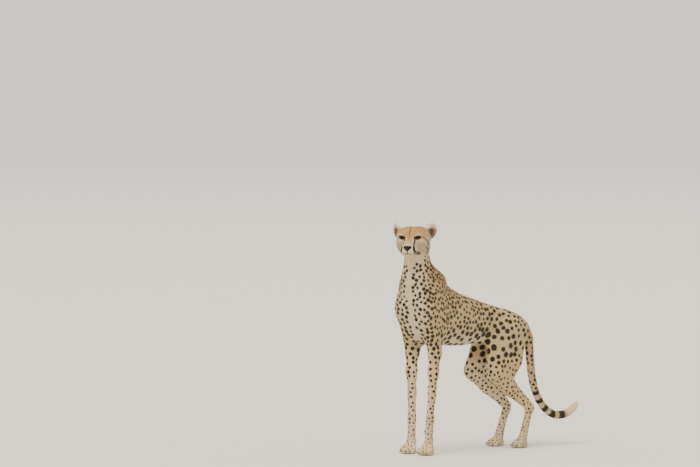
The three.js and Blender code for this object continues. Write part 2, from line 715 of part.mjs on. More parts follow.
// A claw: a blunt cone that curves down as it points forward from its toe.
const CLAW = { length: 17, base: 3.8, thin: 0.7, droop: 0.026, back: 3, up: 5 };
const CLAW_PROFILE = [[0.55, 0.78], [1, 0.2]];
const CLAW_SIDES = 5;
const DEW_CLAW = { x: 39, y: -9, z: 106 };
const clawSolid = ([x, y, z], side, grow = 0) => {
  const outline = [new THREE.Vector2(0, -grow), new THREE.Vector2(CLAW.base + grow, -grow)];
  for (const [t, r] of CLAW_PROFILE) outline.push(new THREE.Vector2(CLAW.base * r + grow, CLAW.length * t));
  outline.push(new THREE.Vector2(0, CLAW.length + grow));
  const claw = new THREE.LatheGeometry(outline, CLAW_SIDES);
  claw.rotateZ(Math.PI);
  claw.scale(CLAW.thin, 1, 1);
  const position = claw.getAttribute("position");
  for (let i = 0; i < position.count; i++)
    position.setZ(i, position.getZ(i) - CLAW.droop * position.getY(i) ** 2);
  return solidOf(posed(claw.translate(side * x, y, z)));
};

const clawPlaces = (leg) => {
  const fore = leg.name === "fore";
  const knuckle = fore ? FORE_KNUCKLE : HIND_KNUCKLE;
  const size = fore ? 1 : HIND_FOOT_SIZE;
  const places = TOES.map((toe) => [
    knuckle.x + toe.x * size,
    knuckle.y - leg.forward - toe.reach * size - CLAW.back,
    TOE_TIP + CLAW.up,
  ]);
  if (fore) places.push([DEW_CLAW.x, DEW_CLAW.y - leg.forward * 0.85, DEW_CLAW.z]);
  return places;
};

// The legs below elbow and knee have finer nets than the body, and the feet the finest.
const LEG_PARTS = {
  fore: { top: "shoulder", shin: "forearm", foot: "fore_foot", cut: ELBOW_CUT, y: [-110, 130], high: 450 },
  hind: { top: "thigh", shin: "shank", foot: "hind_foot", cut: KNEE_CUT, y: [400, 720], high: 420 },
};
const LEG_X = [8, 130];
const FLOOR = beyond([0, 0, 0], [0, 0, 1]);
const makeLeg = (leg, body) => {
  const parts = LEG_PARTS[leg.name];
  const word = sideWord(leg.side);
  const [low, high] = LEG_X.map((x) => leg.side * x).sort((a, b) => a - b);
  const netted = (bottom, top, fine) =>
    solidOf(meshed(leg.form, [low, parts.y[0], bottom], [high, parts.y[1], top], fine));
  const [, top] = split(body.intersect(limbWindow(leg, -CUT / 2)), ...parts.cut);
  const [belowJoint] = split(netted(110, parts.high, NETS.shin), ...parts.cut);
  const [, shin] = split(belowJoint, ...WRIST_CUT);
  const [wholeFoot] = split(netted(-20, 165, NETS.foot), ...WRIST_CUT);
  let foot = wholeFoot.intersect(FLOOR);
  clawPlaces(leg).forEach((place, i) => {
    foot = foot.subtract(clawSolid(place, leg.side, CUT));
    add(`claw_${leg.name}_${word}_${i + 1}`, clawSolid(place, leg.side), colours.claw, 0.45);
  });
  add(`${parts.top}_${word}`, top, colours.tan);
  add(`${parts.shin}_${word}`, shin, colours.tan);
  add(`${parts.foot}_${word}`, foot, colours.pale);
};

const eyeSolid = (side, grow) => {
  const ball = new THREE.SphereGeometry(EYE_RADIUS + grow, 12, 8);
  return solidOf(posed(ball.translate(...face(side * EYE.v, EYE.u, EYE.w))));
};

// The almond opening between the eyelids, higher at its outer corner.
const LIDS = { ahead: 13, radii: [13.5, 16, 8], tilt: 0.16 };
const lidOpening = (side) => {
  const almond = new THREE.SphereGeometry(1, 12, 6);
  almond.scale(...LIDS.radii);
  almond.rotateY(-side * LIDS.tilt);
  almond.translate(0, -LIDS.ahead, 0);
  almond.rotateZ(side * EYE_YAW);
  return solidOf(posed(almond.translate(...face(side * EYE.v, EYE.u, EYE.w))));
};

// The nose leather and, a little larger all round, its socket.
const NOSE_GAP = 0.7;
const noseAndSocket = () => {
  const [x0, y0, z0] = face(-30, 130, -75);
  const [x1, y1, z1] = face(30, 90, -25);
  const leather = meshed(noseForm, [x0, y0, z0], [x1, y1, z1], NETS.nose);
  const nose = solidOf(leather);
  leather.computeVertexNormals();
  const position = leather.getAttribute("position");
  const normal = leather.getAttribute("normal");
  for (let i = 0; i < position.count; i++) {
    const p = new THREE.Vector3().fromBufferAttribute(position, i);
    p.addScaledVector(new THREE.Vector3().fromBufferAttribute(normal, i), NOSE_GAP);
    position.setXYZ(i, p.x, p.y, p.z);
  }
  return [nose, solidOf(leather)];
};

// The head, with sockets for the eyes and the nose, and its ears cut off at their roots.
const EAR_CUT = { at: [66, -2, 24], normal: [0.9, 0, 0.43], size: 120 };
const makeHead = () => {
  const front = solidOf(meshed(frontForm, [-125, -195, 850], [120, 60, 1070], NETS.head));
  const [nose, noseSocket] = noseAndSocket();
  let head = split(front, ...HEAD_CUT)[0].subtract(noseSocket);
  for (const side of [1, -1]) {
    const [v, u, w] = EAR_CUT.at;
    const [nv, nu, nw] = EAR_CUT.normal;
    const [ear, rest] = split(head, face(side * v, u, w), [side * nv, nu, nw], EAR_CUT.size);
    head = rest.subtract(eyeSolid(side, CUT)).subtract(lidOpening(side));
    add(`ear_${sideWord(side)}`, ear, colours.tan);
    add(`eye_${sideWord(side)}`, eyeSolid(side, 0), colours.eye, 0.2);
  }
  add("head", head, colours.tan);
  add("nose", nose, colours.dark, 0.5);
};

makeHead();
const body = makeTrunk();
makeTail();
for (const leg of LEGS) makeLeg(leg, body);

// ---------------------------------------------------------------- the model, centred on the floor

const model = new THREE.Group();
const bounds = new THREE.Box3();
for (const { name, solid, color, roughness } of pieces) {
  const mesh = solid.getMesh();
  const geometry = new THREE.BufferGeometry();
  geometry.setAttribute("position", new THREE.BufferAttribute(mesh.vertProperties, 3));
  geometry.setIndex(new THREE.BufferAttribute(mesh.triVerts, 1));
  const made = new THREE.Mesh(geometry, new THREE.MeshStandardMaterial({ color, roughness, metalness: 0 }));
  made.name = name;
  model.add(made);
  geometry.computeBoundingBox();
  bounds.union(geometry.boundingBox);
}
const middle = bounds.getCenter(new THREE.Vector3());
for (const made of model.children) made.geometry.translate(-middle.x, -middle.y, 0);

export default model;
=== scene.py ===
"""A standing adult cheetah, life size, as a still museum model: one skin over the whole body with a short
spotted coat in tufts on it, and eyes, eyelid rims, nose leather, claws and whiskers as pieces of
their own."""

import math

import bpy
import numpy as np
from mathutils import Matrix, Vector
from mathutils.bvhtree import BVHTree
from mathutils.kdtree import KDTree


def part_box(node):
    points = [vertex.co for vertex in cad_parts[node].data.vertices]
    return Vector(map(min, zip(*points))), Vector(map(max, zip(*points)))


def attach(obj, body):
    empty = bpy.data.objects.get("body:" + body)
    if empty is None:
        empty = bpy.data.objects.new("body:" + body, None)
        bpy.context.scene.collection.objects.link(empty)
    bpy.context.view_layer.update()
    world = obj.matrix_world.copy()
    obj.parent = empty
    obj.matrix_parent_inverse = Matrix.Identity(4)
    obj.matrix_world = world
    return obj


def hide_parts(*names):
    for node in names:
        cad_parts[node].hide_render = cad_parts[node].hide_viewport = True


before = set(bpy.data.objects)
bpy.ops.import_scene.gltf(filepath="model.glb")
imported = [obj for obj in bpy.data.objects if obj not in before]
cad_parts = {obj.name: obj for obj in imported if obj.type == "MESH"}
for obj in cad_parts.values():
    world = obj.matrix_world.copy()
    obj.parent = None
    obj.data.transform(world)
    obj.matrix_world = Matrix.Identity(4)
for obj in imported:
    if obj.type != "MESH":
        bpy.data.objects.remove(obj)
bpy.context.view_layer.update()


# ---------------------------------------------------------------- studio
# A plain pale floor under a pale even sky, a broad soft light from above and ahead of the animal, a weaker
# one from behind it, and a long lens that looks at the animal from its front left.

FLOOR_WIDTH = 600.0
FLOOR = (0.66, 0.63, 0.575)
SKY = (1.0, 0.965, 0.91)
SKY_LIGHT = 1.14
FADE = (7.0, 80.0)  # metres over which the floor passes into the sky


def new_paint(name):
    """A new material, with its nodes, its links and its shader."""
    paint = bpy.data.materials.new(name)
    paint.use_nodes = True
    tree = paint.node_tree
    return paint, tree.nodes, tree.links, tree.nodes["Principled BSDF"]


def node(kind, inputs=(), **settings):
    """A node of the material being made, with values or links for its inputs."""
    made = nodes.new(kind)
    for key, value in settings.items():
        setattr(made, key, value)
    for key, value in dict(inputs).items():
        if isinstance(value, bpy.types.NodeSocket):
            links.new(value, made.inputs[key])
        else:
            made.inputs[key].default_value = value
    return made


bpy.ops.object.select_all(action="DESELECT")
bpy.ops.mesh.primitive_circle_add(vertices=96, radius=FLOOR_WIDTH / 2, fill_type="NGON", location=(0, 0, 0))
floor = bpy.context.object
floor.name = "floor"
floor_paint, nodes, links, near_floor = new_paint("pale_floor")
near_floor.inputs["Base Color"].default_value = (*FLOOR, 1)
near_floor.inputs["Roughness"].default_value = 0.9
near_floor.inputs["Specular IOR Level"].default_value = 0.1
far_floor = node("ShaderNodeEmission", {"Color": (*SKY, 1), "Strength": SKY_LIGHT})
where = node("ShaderNodeTexCoord").outputs["Object"]
how_far = node("ShaderNodeVectorMath", {0: where}, operation="LENGTH").outputs["Value"]
fade = node("ShaderNodeMapRange", {"Value": how_far, "From Min": FADE[0], "From Max": FADE[1]},
            interpolation_type="SMOOTHSTEP").outputs["Result"]
whole_floor = node("ShaderNodeMixShader", {"Fac": fade, 1: near_floor.outputs[0], 2: far_floor.outputs[0]})
links.new(whole_floor.outputs[0], nodes["Material Output"].inputs["Surface"])
floor.data.materials.append(floor_paint)

sky = bpy.data.worlds.new("pale_sky")
sky.use_nodes = True
sky.node_tree.nodes["Background"].inputs["Color"].default_value = (*SKY, 1)
sky.node_tree.nodes["Background"].inputs["Strength"].default_value = SKY_LIGHT
bpy.context.scene.world = sky


def soft_light(name, azimuth, height, strength, spread, colour):
    """A broad light from a heading and a height in degrees, as wide in the sky as spread."""
    a = math.radians(azimuth)
    h = math.radians(height)
    towards = Vector((math.sin(a) * math.cos(h), -math.cos(a) * math.cos(h), math.sin(h)))
    bpy.ops.object.light_add(type="SUN", location=towards * 6)
    light = bpy.context.object
    light.name = name
    light.rotation_mode = "QUATERNION"
    light.rotation_quaternion = towards.to_track_quat("Z", "Y")
    light.data.energy = strength
    light.data.angle = math.radians(spread)
    light.data.color = colour


soft_light("key_light", azimuth=15, height=58, strength=3.7, spread=40, colour=(1.0, 0.93, 0.82))
soft_light("back_light", azimuth=190, height=48, strength=0.9, spread=60, colour=(1.0, 0.96, 0.9))

LOOK_FROM = math.radians(47)
LOOK_DOWN = math.radians(2)
DISTANCE = 20.0  # metres
LENS = 228.6  # millimetres, on a sensor 36 wide
FRAME_CENTRE_HEIGHT = 0.9945
FRAME_CENTRE_ASIDE = -0.3145  # the view's middle lies this far to the side of the shoulders
SHOULDERS = Vector((0.013, -0.378, 0))

to_camera = Vector((math.sin(LOOK_FROM), -math.cos(LOOK_FROM), 0))
aside = Vector((math.cos(LOOK_FROM), math.sin(LOOK_FROM), 0))
aim = SHOULDERS + aside * FRAME_CENTRE_ASIDE + Vector((0, 0, FRAME_CENTRE_HEIGHT))
back = to_camera * math.cos(LOOK_DOWN) + Vector((0, 0, math.sin(LOOK_DOWN)))
bpy.ops.object.camera_add(location=aim + back * DISTANCE)
camera = bpy.context.object
camera.rotation_mode = "QUATERNION"
camera.rotation_quaternion = back.to_track_quat("Z", "Y")
camera.data.lens = LENS
camera.data.sensor_width = 36
camera.data.clip_end = 1.5 * FLOOR_WIDTH
bpy.context.scene.camera = camera


# ---------------------------------------------------------------- skin
# One hide over the whole body, over copies of all the parts of flesh that are grown together, smoothed and
# drawn in by the depth of the coat. The face, where the folds are finest, has the closest net.

# Shapes, markings and the lie of the coat are worked out on the animal laid out straight, in millimetres:
# +x to its left, +y from the shoulders back, +z up. The pose bends the spine sideways and turns the head.
HALF_BEND = math.radians(15)
SPINE = 600.0
SPINE_RADIUS = SPINE / (2 * HALF_BEND)
HEAD_TURN = math.radians(16)
NECK_LOW = 800.0  # heights between which the neck turns, about an upright axis
NECK_HIGH = 920.0
NECK_AXIS = -30.0
NECK_BACK = 150.0  # only what lies ahead of this turns with the neck
HEAD = np.array([-3.0, -58.0, 980.0])  # between the ears, at the eyes' height
EYE = np.array([34.5, 61.0, 2.0])  # on the head


def eased(t):
    """0 up to t = 0, 1 from t = 1 on, and a soft rise between them."""
    t = np.clip(t, 0, 1)
    return t * t * (3 - 2 * t)


def face_place(v, u, w):
    """A place on the head: v to the left, u forward and w up from between the ears at the eyes' height."""
    return np.stack(np.broadcast_arrays(HEAD[0] + v, HEAD[1] - u, HEAD[2] + w), -1).astype(float)


def neck_turn(height):
    """How far the neck has turned at a height."""
    return HEAD_TURN * eased((height - NECK_LOW) / (NECK_HIGH - NECK_LOW))


def bent(places):
    """Straight places to posed ones, both in millimetres."""
    x, y, z = np.asarray(places, float).T
    turn = np.where(y < NECK_BACK, neck_turn(z), 0)
    dy = y - NECK_AXIS
    x, y = x * np.cos(turn) - dy * np.sin(turn), NECK_AXIS + x * np.sin(turn) + dy * np.cos(turn)
    on_spine = np.clip(y, 0, SPINE)
    heading = HALF_BEND - on_spine / SPINE_RADIUS
    past = y - on_spine
    c, s = np.cos(heading), np.sin(heading)
    px = SPINE_RADIUS * (math.cos(HALF_BEND) - c) - past * s + x * c
    py = SPINE_RADIUS * (math.sin(HALF_BEND) - s) + past * c + x * s
    return np.stack([px, py, z], -1)


eye_low, eye_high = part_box("eye_left")
ORIGIN = np.array((eye_low + eye_high) / 2) - bent(face_place(*EYE)) / 1000


def posed(places):
    """Straight places in millimetres to places in the frame, in metres."""
    return bent(places) / 1000 + ORIGIN


def straight(places):
    """Places in the frame, in metres, to straight places in millimetres."""
    px, py, z = ((np.asarray(places, float) - ORIGIN) * 1000).T
    to_x = SPINE_RADIUS * math.cos(HALF_BEND) - px
    to_y = SPINE_RADIUS * math.sin(HALF_BEND) - py
    y = (HALF_BEND - np.arctan2(to_y, to_x)) * SPINE_RADIUS
    x = SPINE_RADIUS - np.hypot(to_x, to_y)
    c, s = math.cos(HALF_BEND), math.sin(HALF_BEND)
    ahead = y < 0
    x, y = np.where(ahead, px * c + py * s, x), np.where(ahead, py * c - px * s, y)
    behind = y > SPINE
    hip_y = py - 2 * SPINE_RADIUS * s
    x, y = np.where(behind, px * c - hip_y * s, x), np.where(behind, SPINE + px * s + hip_y * c, y)
    turn = np.where(y < NECK_BACK + 20, -neck_turn(z), 0)
    dy = y - NECK_AXIS
    x, y = x * np.cos(turn) - dy * np.sin(turn), NECK_AXIS + x * np.sin(turn) + dy * np.cos(turn)
    return np.stack([x, y, z], -1)


def on_head(places):
    """Straight places as head places (v, u, w)."""
    return (places - HEAD) * np.array([1, -1, 1])


FINE = 0.0024  # metres between points before the body is thinned out
BODY_SHARE = 0.13  # of its faces, which the body keeps
ROUGHENED = 0.0008  # metres by which the body is roughened, so that it is thinned out evenly
GROWN = 0.0005  # metres by which the parts' copies grow, so that they run into each other
SOCKET = 0.0209  # radius of the round form that fills each eye socket under the lids


def only(*objects):
    """Selects these objects and nothing else."""
    bpy.ops.object.select_all(action="DESELECT")
    for o in objects:
        o.select_set(True)
    bpy.context.view_layer.objects.active = objects[-1]


def copy_of(nodes, name):
    """One object with a copy of the nodes' meshes, their loose triangles merged."""
    copies = []
    for node in nodes:
        copy = bpy.data.objects.new(name, node.data.copy())
        copy.data.materials.clear()
        bpy.context.scene.collection.objects.link(copy)
        copies.append(copy)
    only(*copies)
    if len(copies) > 1:
        bpy.ops.object.join()
    made = bpy.context.object
    bpy.ops.object.mode_set(mode="EDIT")
    bpy.ops.mesh.select_all(action="SELECT")
    bpy.ops.mesh.remove_doubles(threshold=1e-6)
    bpy.ops.object.mode_set(mode="OBJECT")
    return made


def apply_modifier(obj, kind, **settings):
    """Adds a modifier to an object and applies it."""
    only(obj)
    bpy.ops.object.modifier_add(type=kind)
    modifier = obj.modifiers[-1]
    for key, value in settings.items():
        setattr(modifier, key, value)
    bpy.ops.object.modifier_apply(modifier=modifier.name)


def points_of(mesh):
    """The places of a mesh's points."""
    found = np.empty(len(mesh.vertices) * 3)
    mesh.vertices.foreach_get("co", found)
    return found.reshape(-1, 3)


def normals_of(mesh):
    """The direction in which a mesh faces at each of its points."""
    found = np.empty(len(mesh.vertices) * 3, np.float32)
    mesh.vertex_normals.foreach_get("vector", found)
    return found.reshape(-1, 3).astype(float)


def edges_of(mesh):
    """The two points of each of a mesh's edges."""
    found = np.empty(len(mesh.edges) * 2, np.int32)
    mesh.edges.foreach_get("vertices", found)
    return found.reshape(-1, 2)


def set_points(mesh, points):
    """Puts a mesh's points at these places."""
    mesh.vertices.foreach_set("co", np.asarray(points, np.float32).ravel())
    mesh.update()


def averaged(values, edges, weight, rounds):
    """Values at points, each drawn towards the mean of its neighbours by its weight, round after round."""
    values = np.array(values, float)
    flat = values.reshape(len(values), -1)
    a, b = edges.T
    full = np.broadcast_to(weight, len(flat))
    share = full / np.maximum(np.bincount(edges.ravel(), minlength=len(flat)), 1)
    for _ in range(rounds):
        for c in range(flat.shape[1]):
            column = flat[:, c]
            total = np.bincount(a, column[b], len(flat)) + np.bincount(b, column[a], len(flat))
            flat[:, c] = column * (1 - full) + total * share
    return flat.reshape(values.shape)


flesh_names = [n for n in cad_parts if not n.startswith("claw")]
skin = copy_of([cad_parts[n] for n in flesh_names], "skin")
for side in (1, -1):
    at = posed(face_place(side * EYE[0], EYE[1], EYE[2]))
    bpy.ops.mesh.primitive_uv_sphere_add(segments=32, ring_count=16, radius=SOCKET, location=tuple(at))
    only(bpy.context.object, skin)
    bpy.ops.object.join()
bpy.ops.object.mode_set(mode="EDIT")
bpy.ops.mesh.select_all(action="SELECT")
bpy.ops.transform.shrink_fatten(value=GROWN)
bpy.ops.object.mode_set(mode="OBJECT")
apply_modifier(skin, "REMESH", mode="VOXEL", voxel_size=FINE, adaptivity=0)

# The facets are smoothed away: most on the trunk, less on the tail, least on the face, ears and feet.
SMOOTHING = [(0, 0.06), (110, 0.06), (190, 0.22), (430, 0.35), (560, 1), (790, 1), (880, 0.4), (930, 0.1),
             (1100, 0.06)]  # heights, and how much of the smoothing is done there
TAIL_SMOOTHING = 0.4
SMOOTHING_ROUNDS = 70
points = points_of(skin.data)
place = straight(points)
share = np.interp(place[:, 2], *np.array(SMOOTHING).T)
share = np.where(place[:, 1] > 668, np.minimum(share, TAIL_SMOOTHING), share)
edges = edges_of(skin.data)
even = averaged(points, edges, 0.6 * share, SMOOTHING_ROUNDS)
even += averaged(points - even, edges, 0.6 * share, SMOOTHING_ROUNDS)
set_points(skin.data, even)


def select_faces(obj, wanted):
    """Selects the faces that wanted marks, one mark a face, and goes into edit mode."""
    only(obj)
    bpy.ops.object.mode_set(mode="EDIT")
    bpy.ops.mesh.select_mode(type="FACE")
    bpy.ops.mesh.select_all(action="DESELECT")
    bpy.ops.object.mode_set(mode="OBJECT")
    obj.data.polygons.foreach_set("select", wanted)
    bpy.ops.object.mode_set(mode="EDIT")


def face_middles(mesh):
    """The straight places of the middles of a mesh's faces."""
    found = np.empty(len(mesh.polygons) * 3, np.float32)
    mesh.polygons.foreach_get("center", found)
    return straight(found.reshape(-1, 3))


# The net is made twice as close on the front of the face, and thinned out everywhere but on head and feet.
v, u, w = on_head(face_middles(skin.data)).T
front_of_face = (u > 38) & (w > -90) & (w < 36) & (np.abs(v) < 62)
select_faces(skin, front_of_face)
bpy.ops.mesh.subdivide(number_cuts=1, smoothness=0, quadcorner="INNERVERT")
bpy.ops.object.mode_set(mode="OBJECT")


def thinned_out(obj, wanted, share, roughness):
    """Thins out the faces that wanted marks: the net is roughened first and smoothed again after."""
    rough = np.random.default_rng(7).normal(0, roughness, len(obj.data.vertices))
    rough *= wanted(straight(points_of(obj.data)))
    set_points(obj.data, points_of(obj.data) + normals_of(obj.data) * rough[:, None])
    select_faces(obj, wanted(face_middles(obj.data)))
    bpy.ops.mesh.decimate(ratio=share)
    bpy.ops.object.mode_set(mode="OBJECT")
    points = points_of(obj.data)
    edges = edges_of(obj.data)
    weight = 0.5 * wanted(straight(points))
    even = averaged(points, edges, weight, 5)
    set_points(obj.data, even + averaged(points - even, edges, weight, 5))


def on_body(places):
    """Everything but the head and the feet, where the forms are fine."""
    x, y, z = places.T
    return ~((z > 905) & (y < 60)) & ~((z < 60) & (y < 700))


thinned_out(skin, on_body, BODY_SHARE, ROUGHENED)


def bump_at(places, at, size):
    """1 at a place, falling away to 0 over size."""
    return np.exp(-(((places - np.array(at, float)) / np.array(size, float)) ** 2).sum(-1))


def moved_out(obj, distance):
    """Moves the points of a mesh along their normals by a distance in millimetres."""
    set_points(obj.data, points_of(obj.data) + normals_of(obj.data) * np.asarray(distance)[:, None] / 1000)


def ear_share(places):
    """1 on the free part of the ears, 0 on the rest."""
    v, u, w = on_head(places).T
    return eased((np.hypot(np.abs(v) - 80, w - 31) < 60) * (np.abs(v) * 0.9 + w * 0.43 - 66) / 12)


def folded(places):
    """Places with their right side folded onto the left."""
    return np.stack([np.abs(places[:, 0]), places[:, 1], places[:, 2]], -1)


COAT_AT = [(0, 0.3), (8, 1.2), (30, 1.8), (130, 2.3), (400, 2.8), (520, 3.6), (640, 4.0), (800, 4.6),
           (900, 4.6)]  # heights, and how deep the coat is there
FACE_COAT = 1.9
TAIL_COAT = 4.6


def coat_depth(places):
    """How deep the coat is over the skin, in millimetres."""
    x, y, z = places.T
    depth = np.interp(z, *np.array(COAT_AT).T)
    trunk = eased((y - 40) / 120) * eased((z - 430) / 60)
    depth += trunk * np.interp(y, [0, 300, 600], [0.8, -0.3, -0.4])
    depth = np.where((y > 655) & (z < 640), TAIL_COAT, depth)
    face = folded(on_head(places))
    face_depth = FACE_COAT + 1.9 * bump_at(face, (68, 2, -40), (22, 34, 34))  # fuller on the cheeks
    face_depth = face_depth - 1.0 * bump_at(face, (0, 100, -45), (46, 46, 46))  # and thinner on the muzzle
    face_depth -= 0.4 * bump_at(face, (34, 80, 2), (20, 20, 16))  # and round the eyes
    on_face = eased((z - 865) / 50) * (y < 80)
    depth = depth * (1 - on_face) + face_depth * on_face
    return depth * (1 - 0.5 * ear_share(places))


# The skin lies inside the solids by the coat's depth.
place = straight(points_of(skin.data))
depth = averaged(coat_depth(place), edges_of(skin.data), 0.5, 6)
moved_out(skin, -depth)

# Muscles, bones and the forms of the face that stand out from the smooth body.
BODY_FORMS = [  # place, size, height in millimetres; each is on both sides
    ((60, -52, 640), (30, 26, 34), 3.0),  # point of the shoulder
    ((88, 60, 600), (26, 30, 70), 2.5),  # triceps
    ((80, 10, 640), (20, 18, 60), -2.5),  # hollow ahead of the triceps
    ((60, 120, 700), (30, 16, 70), -3.0),  # behind the shoulder blade
    ((46, 60, 775), (22, 40, 26), 2.5),  # top of the shoulder blade
    ((20, -100, 660), (16, 30, 60), 3.0),  # breast muscles
    ((0, -105, 640), (8, 30, 80), -4.0),  # furrow between them
    ((72, 430, 560), (30, 40, 60), -4.0),  # hollow of the flank
    ((48, 520, 640), (20, 26, 20), 4.0),  # point of the hip
    ((84, 500, 470), (26, 34, 70), 2.5),  # thigh
    ((76, 590, 470), (22, 16, 80), -2.5),  # groove between thigh and hamstrings
    ((74, 440, 350), (22, 14, 22), 2.5),  # kneecap
    ((84, 560, 250), (14, 10, 60), -2.5),  # hollow ahead of the heel tendon
    ((80, 2, 172), (10, 14, 14), 1.2),  # outer wrist bone
    ((66, 8, 330), (14, 10, 70), -1.5),  # groove along the forearm
]
FACE_FORMS = [  # the same on the head, which lies above the body's forms
    ((32, 74, 19), (18, 14, 6), 1.5),  # brow
    ((20, 80, -8), (6, 12, 9), -2.0),  # inner corner of the eye
    ((50, 66, -14), (16, 16, 8), 1.6),  # cheekbone under the eye
    ((44, 66, -36), (12, 18, 12), -2.2),  # hollow ahead of the cheek
    ((17, 112, -60), (11, 14, 9), 2.0),  # whisker pad
    ((34, 97, -54), (9, 14, 11), 2.6),  # hanging lip behind it
    ((0, 104, -84), (13, 12, 7), 1.6),  # chin
    ((0, 60, 30), (5, 26, 16), -1.2),  # furrow up the forehead
    ((15, 66, 30), (10, 20, 14), 1.0),  # forehead beside it
    ((12, 96, -14), (5, 18, 14), -1.0),  # sides of the nose bridge
    ((23, 116, -44), (5, 8, 7), -1.6),  # beside the nose
    ((56, 30, 34), (10, 18, 12), -1.5),  # temple
]
place = straight(points_of(skin.data))
half_body = folded(place)
face = folded(on_head(place))
lift = sum(height * bump_at(half_body, at, size) for at, size, height in BODY_FORMS)
lift = lift * (place[:, 2] < 880)
lift += sum(height * bump_at(face, at, size) for at, size, height in FACE_FORMS)

# Grooves part the toes.
FEET = [(58, -26, 1.0), (-58, 14, 1.0), (66, 610, 0.94), (-66, 562, 0.94)]  # knuckles' x and y, and size
BETWEEN_TOES = (-18.3, 0.0, 18.3)
TOE_GROOVE = 4.4
x, y, z = place.T
for knuckle_x, knuckle_y, size in FEET:
    ahead = knuckle_y - y
    on_toes = eased((ahead - 12) / 14) * (ahead < 75) * (np.abs(x - knuckle_x) < 48) * eased((50 - z) / 14)
    for between in BETWEEN_TOES:
        lift -= TOE_GROOVE * on_toes * np.exp(-(((x - knuckle_x - between * size) / 3.0) ** 2))

# The mouth is a narrow fold round the muzzle, and a furrow joins its middle to the nose.
MOUTH_CORNER = 58.0  # how far forward on the head it starts
MOUTH_FOLD = 2.8
LIP_HOLLOW = 1.3  # just below the fold
NOSE_FURROW = 2.0


def mouth_height(v, u):
    """The height of the mouth line on the head."""
    dip = np.exp(-(((np.abs(v) - 21) / 11) ** 2)) * eased((u - 62) / 20)
    return -69.5 - 6.5 * dip + 2.0 * eased((78 - u) / 20)


v, u, w = face.T
lip = eased((u - MOUTH_CORNER) / 8)
gap = w - mouth_height(v, u)
lift -= MOUTH_FOLD * lip * np.exp(-((gap / 2.0) ** 2))
lift -= LIP_HOLLOW * lip * np.exp(-(((gap + 5) / 4.5) ** 2)) * (u > 70)
furrow = np.exp(-((v / 1.5) ** 2)) * eased((u - 98) / 8) * eased((w + 73) / 3) * eased((-56 - w) / 3)
lift -= NOSE_FURROW * furrow
moved_out(skin, lift)

# The eyelids: an almond opening in front of each eyeball, with the lids lying on the ball.
BALL = 18.5  # radius of the eyeball
EYE_YAW = math.radians(14)
LID = {"length": 13.4, "upper": 6.0, "lower": 8.0, "tilt": 0.13, "thick": 1.3}
LID_EDGE = 0.7  # points of the skin that are this near the opening are drawn onto its edge
UNDER_BALL = 8.5  # how far ahead of the ball's middle the skin inside the opening lies


def eye_axes(side):
    """An eye's outward, upward and forward directions on the head."""
    c, s = math.cos(EYE_YAW), math.sin(EYE_YAW)
    return np.array([[c * side, -s, 0], [0, 0, 1], [s * side, c, 0]])


def lid_edge(a, b):
    """How far a place in front of the eye is outside the opening, and the height of the near lid there."""
    level = b - LID["tilt"] * a
    t = np.clip(1 - (a / LID["length"]) ** 2, 0, 1)
    upper = LID["upper"] * t**0.7
    lower = -LID["lower"] * t**0.85
    past = np.maximum(np.abs(a) - LID["length"], 0)
    off = np.where(past > 0, np.hypot(past, level), np.maximum(level - upper, lower - level))
    return off, np.where(level > (upper + lower) / 2, upper, lower)


place = straight(points_of(skin.data))
face = on_head(place)
for side in (1, -1):
    axes = eye_axes(side)
    local = (face - EYE * np.array([side, 1, 1])) @ axes.T
    a, b, c = local.T
    near = (c > 4) & (np.hypot(a, b) < 30)
    off, lid = lid_edge(a, b)
    reach = np.linalg.norm(local, axis=1)
    wanted = BALL + LID["thick"] + 1.2 * (1 - np.exp(-np.maximum(off, 0) / 4))
    wanted -= 0.7 * np.exp(-(((off - 4.5) / 1.3) ** 2)) * (b > 0)
    hug = np.exp(-((np.maximum(off, 0) / 9) ** 2))
    scale = 1 + (wanted / np.maximum(reach, 1) - 1) * hug
    edge = near & (np.abs(off) < LID_EDGE)
    snapped = local.copy()
    snapped[:, 1] = lid + LID["tilt"] * a
    rim_reach = BALL + 0.9
    snapped[:, 2] = np.sqrt(np.maximum(rim_reach**2 - snapped[:, 0] ** 2 - snapped[:, 1] ** 2, 25))
    made = local * scale[:, None]
    made = np.where(edge[:, None], snapped, made)
    sunk = near & (off <= -LID_EDGE)
    made[sunk, 2] = UNDER_BALL
    local = np.where(near[:, None], made, local)
    face = local @ axes + EYE * np.array([side, 1, 1])
place = face * np.array([1, -1, 1]) + HEAD
set_points(skin.data, posed(place))


# ---------------------------------------------------------------- markings
# Tan above and cream below, with solid dark spots all over, rings on the tail, a tear line from each eye
# and a few marks of this animal's own. They are worked out for any place, so that skin and coat share them.

def paint(red, green, blue):
    """A colour as it is seen, in 255ths, as the share of light that it throws back."""
    c = np.array([red, green, blue]) / 255
    return np.where(c < 0.04045, c / 12.92, ((c + 0.055) / 1.055) ** 2.4)


TAN = paint(211, 176, 124)
FLANK = paint(225, 198, 150)
CREAM = paint(247, 228, 192)
FOREHEAD = paint(216, 170, 108)
ORANGE = paint(222, 150, 88)
CHEEK = paint(224, 201, 162)
MUZZLE = paint(243, 225, 191)
DARK = paint(42, 29, 18)
# painted shade inside the ear's cup, over its pale fur, and deeper painted shade in its hollow
EAR_CUP_SHADE = paint(150, 124, 98)
EAR_HOLLOW_SHADE = paint(84, 60, 48)
EAR_TIP = paint(246, 230, 198)
EAR_BACK = paint(40, 32, 26)

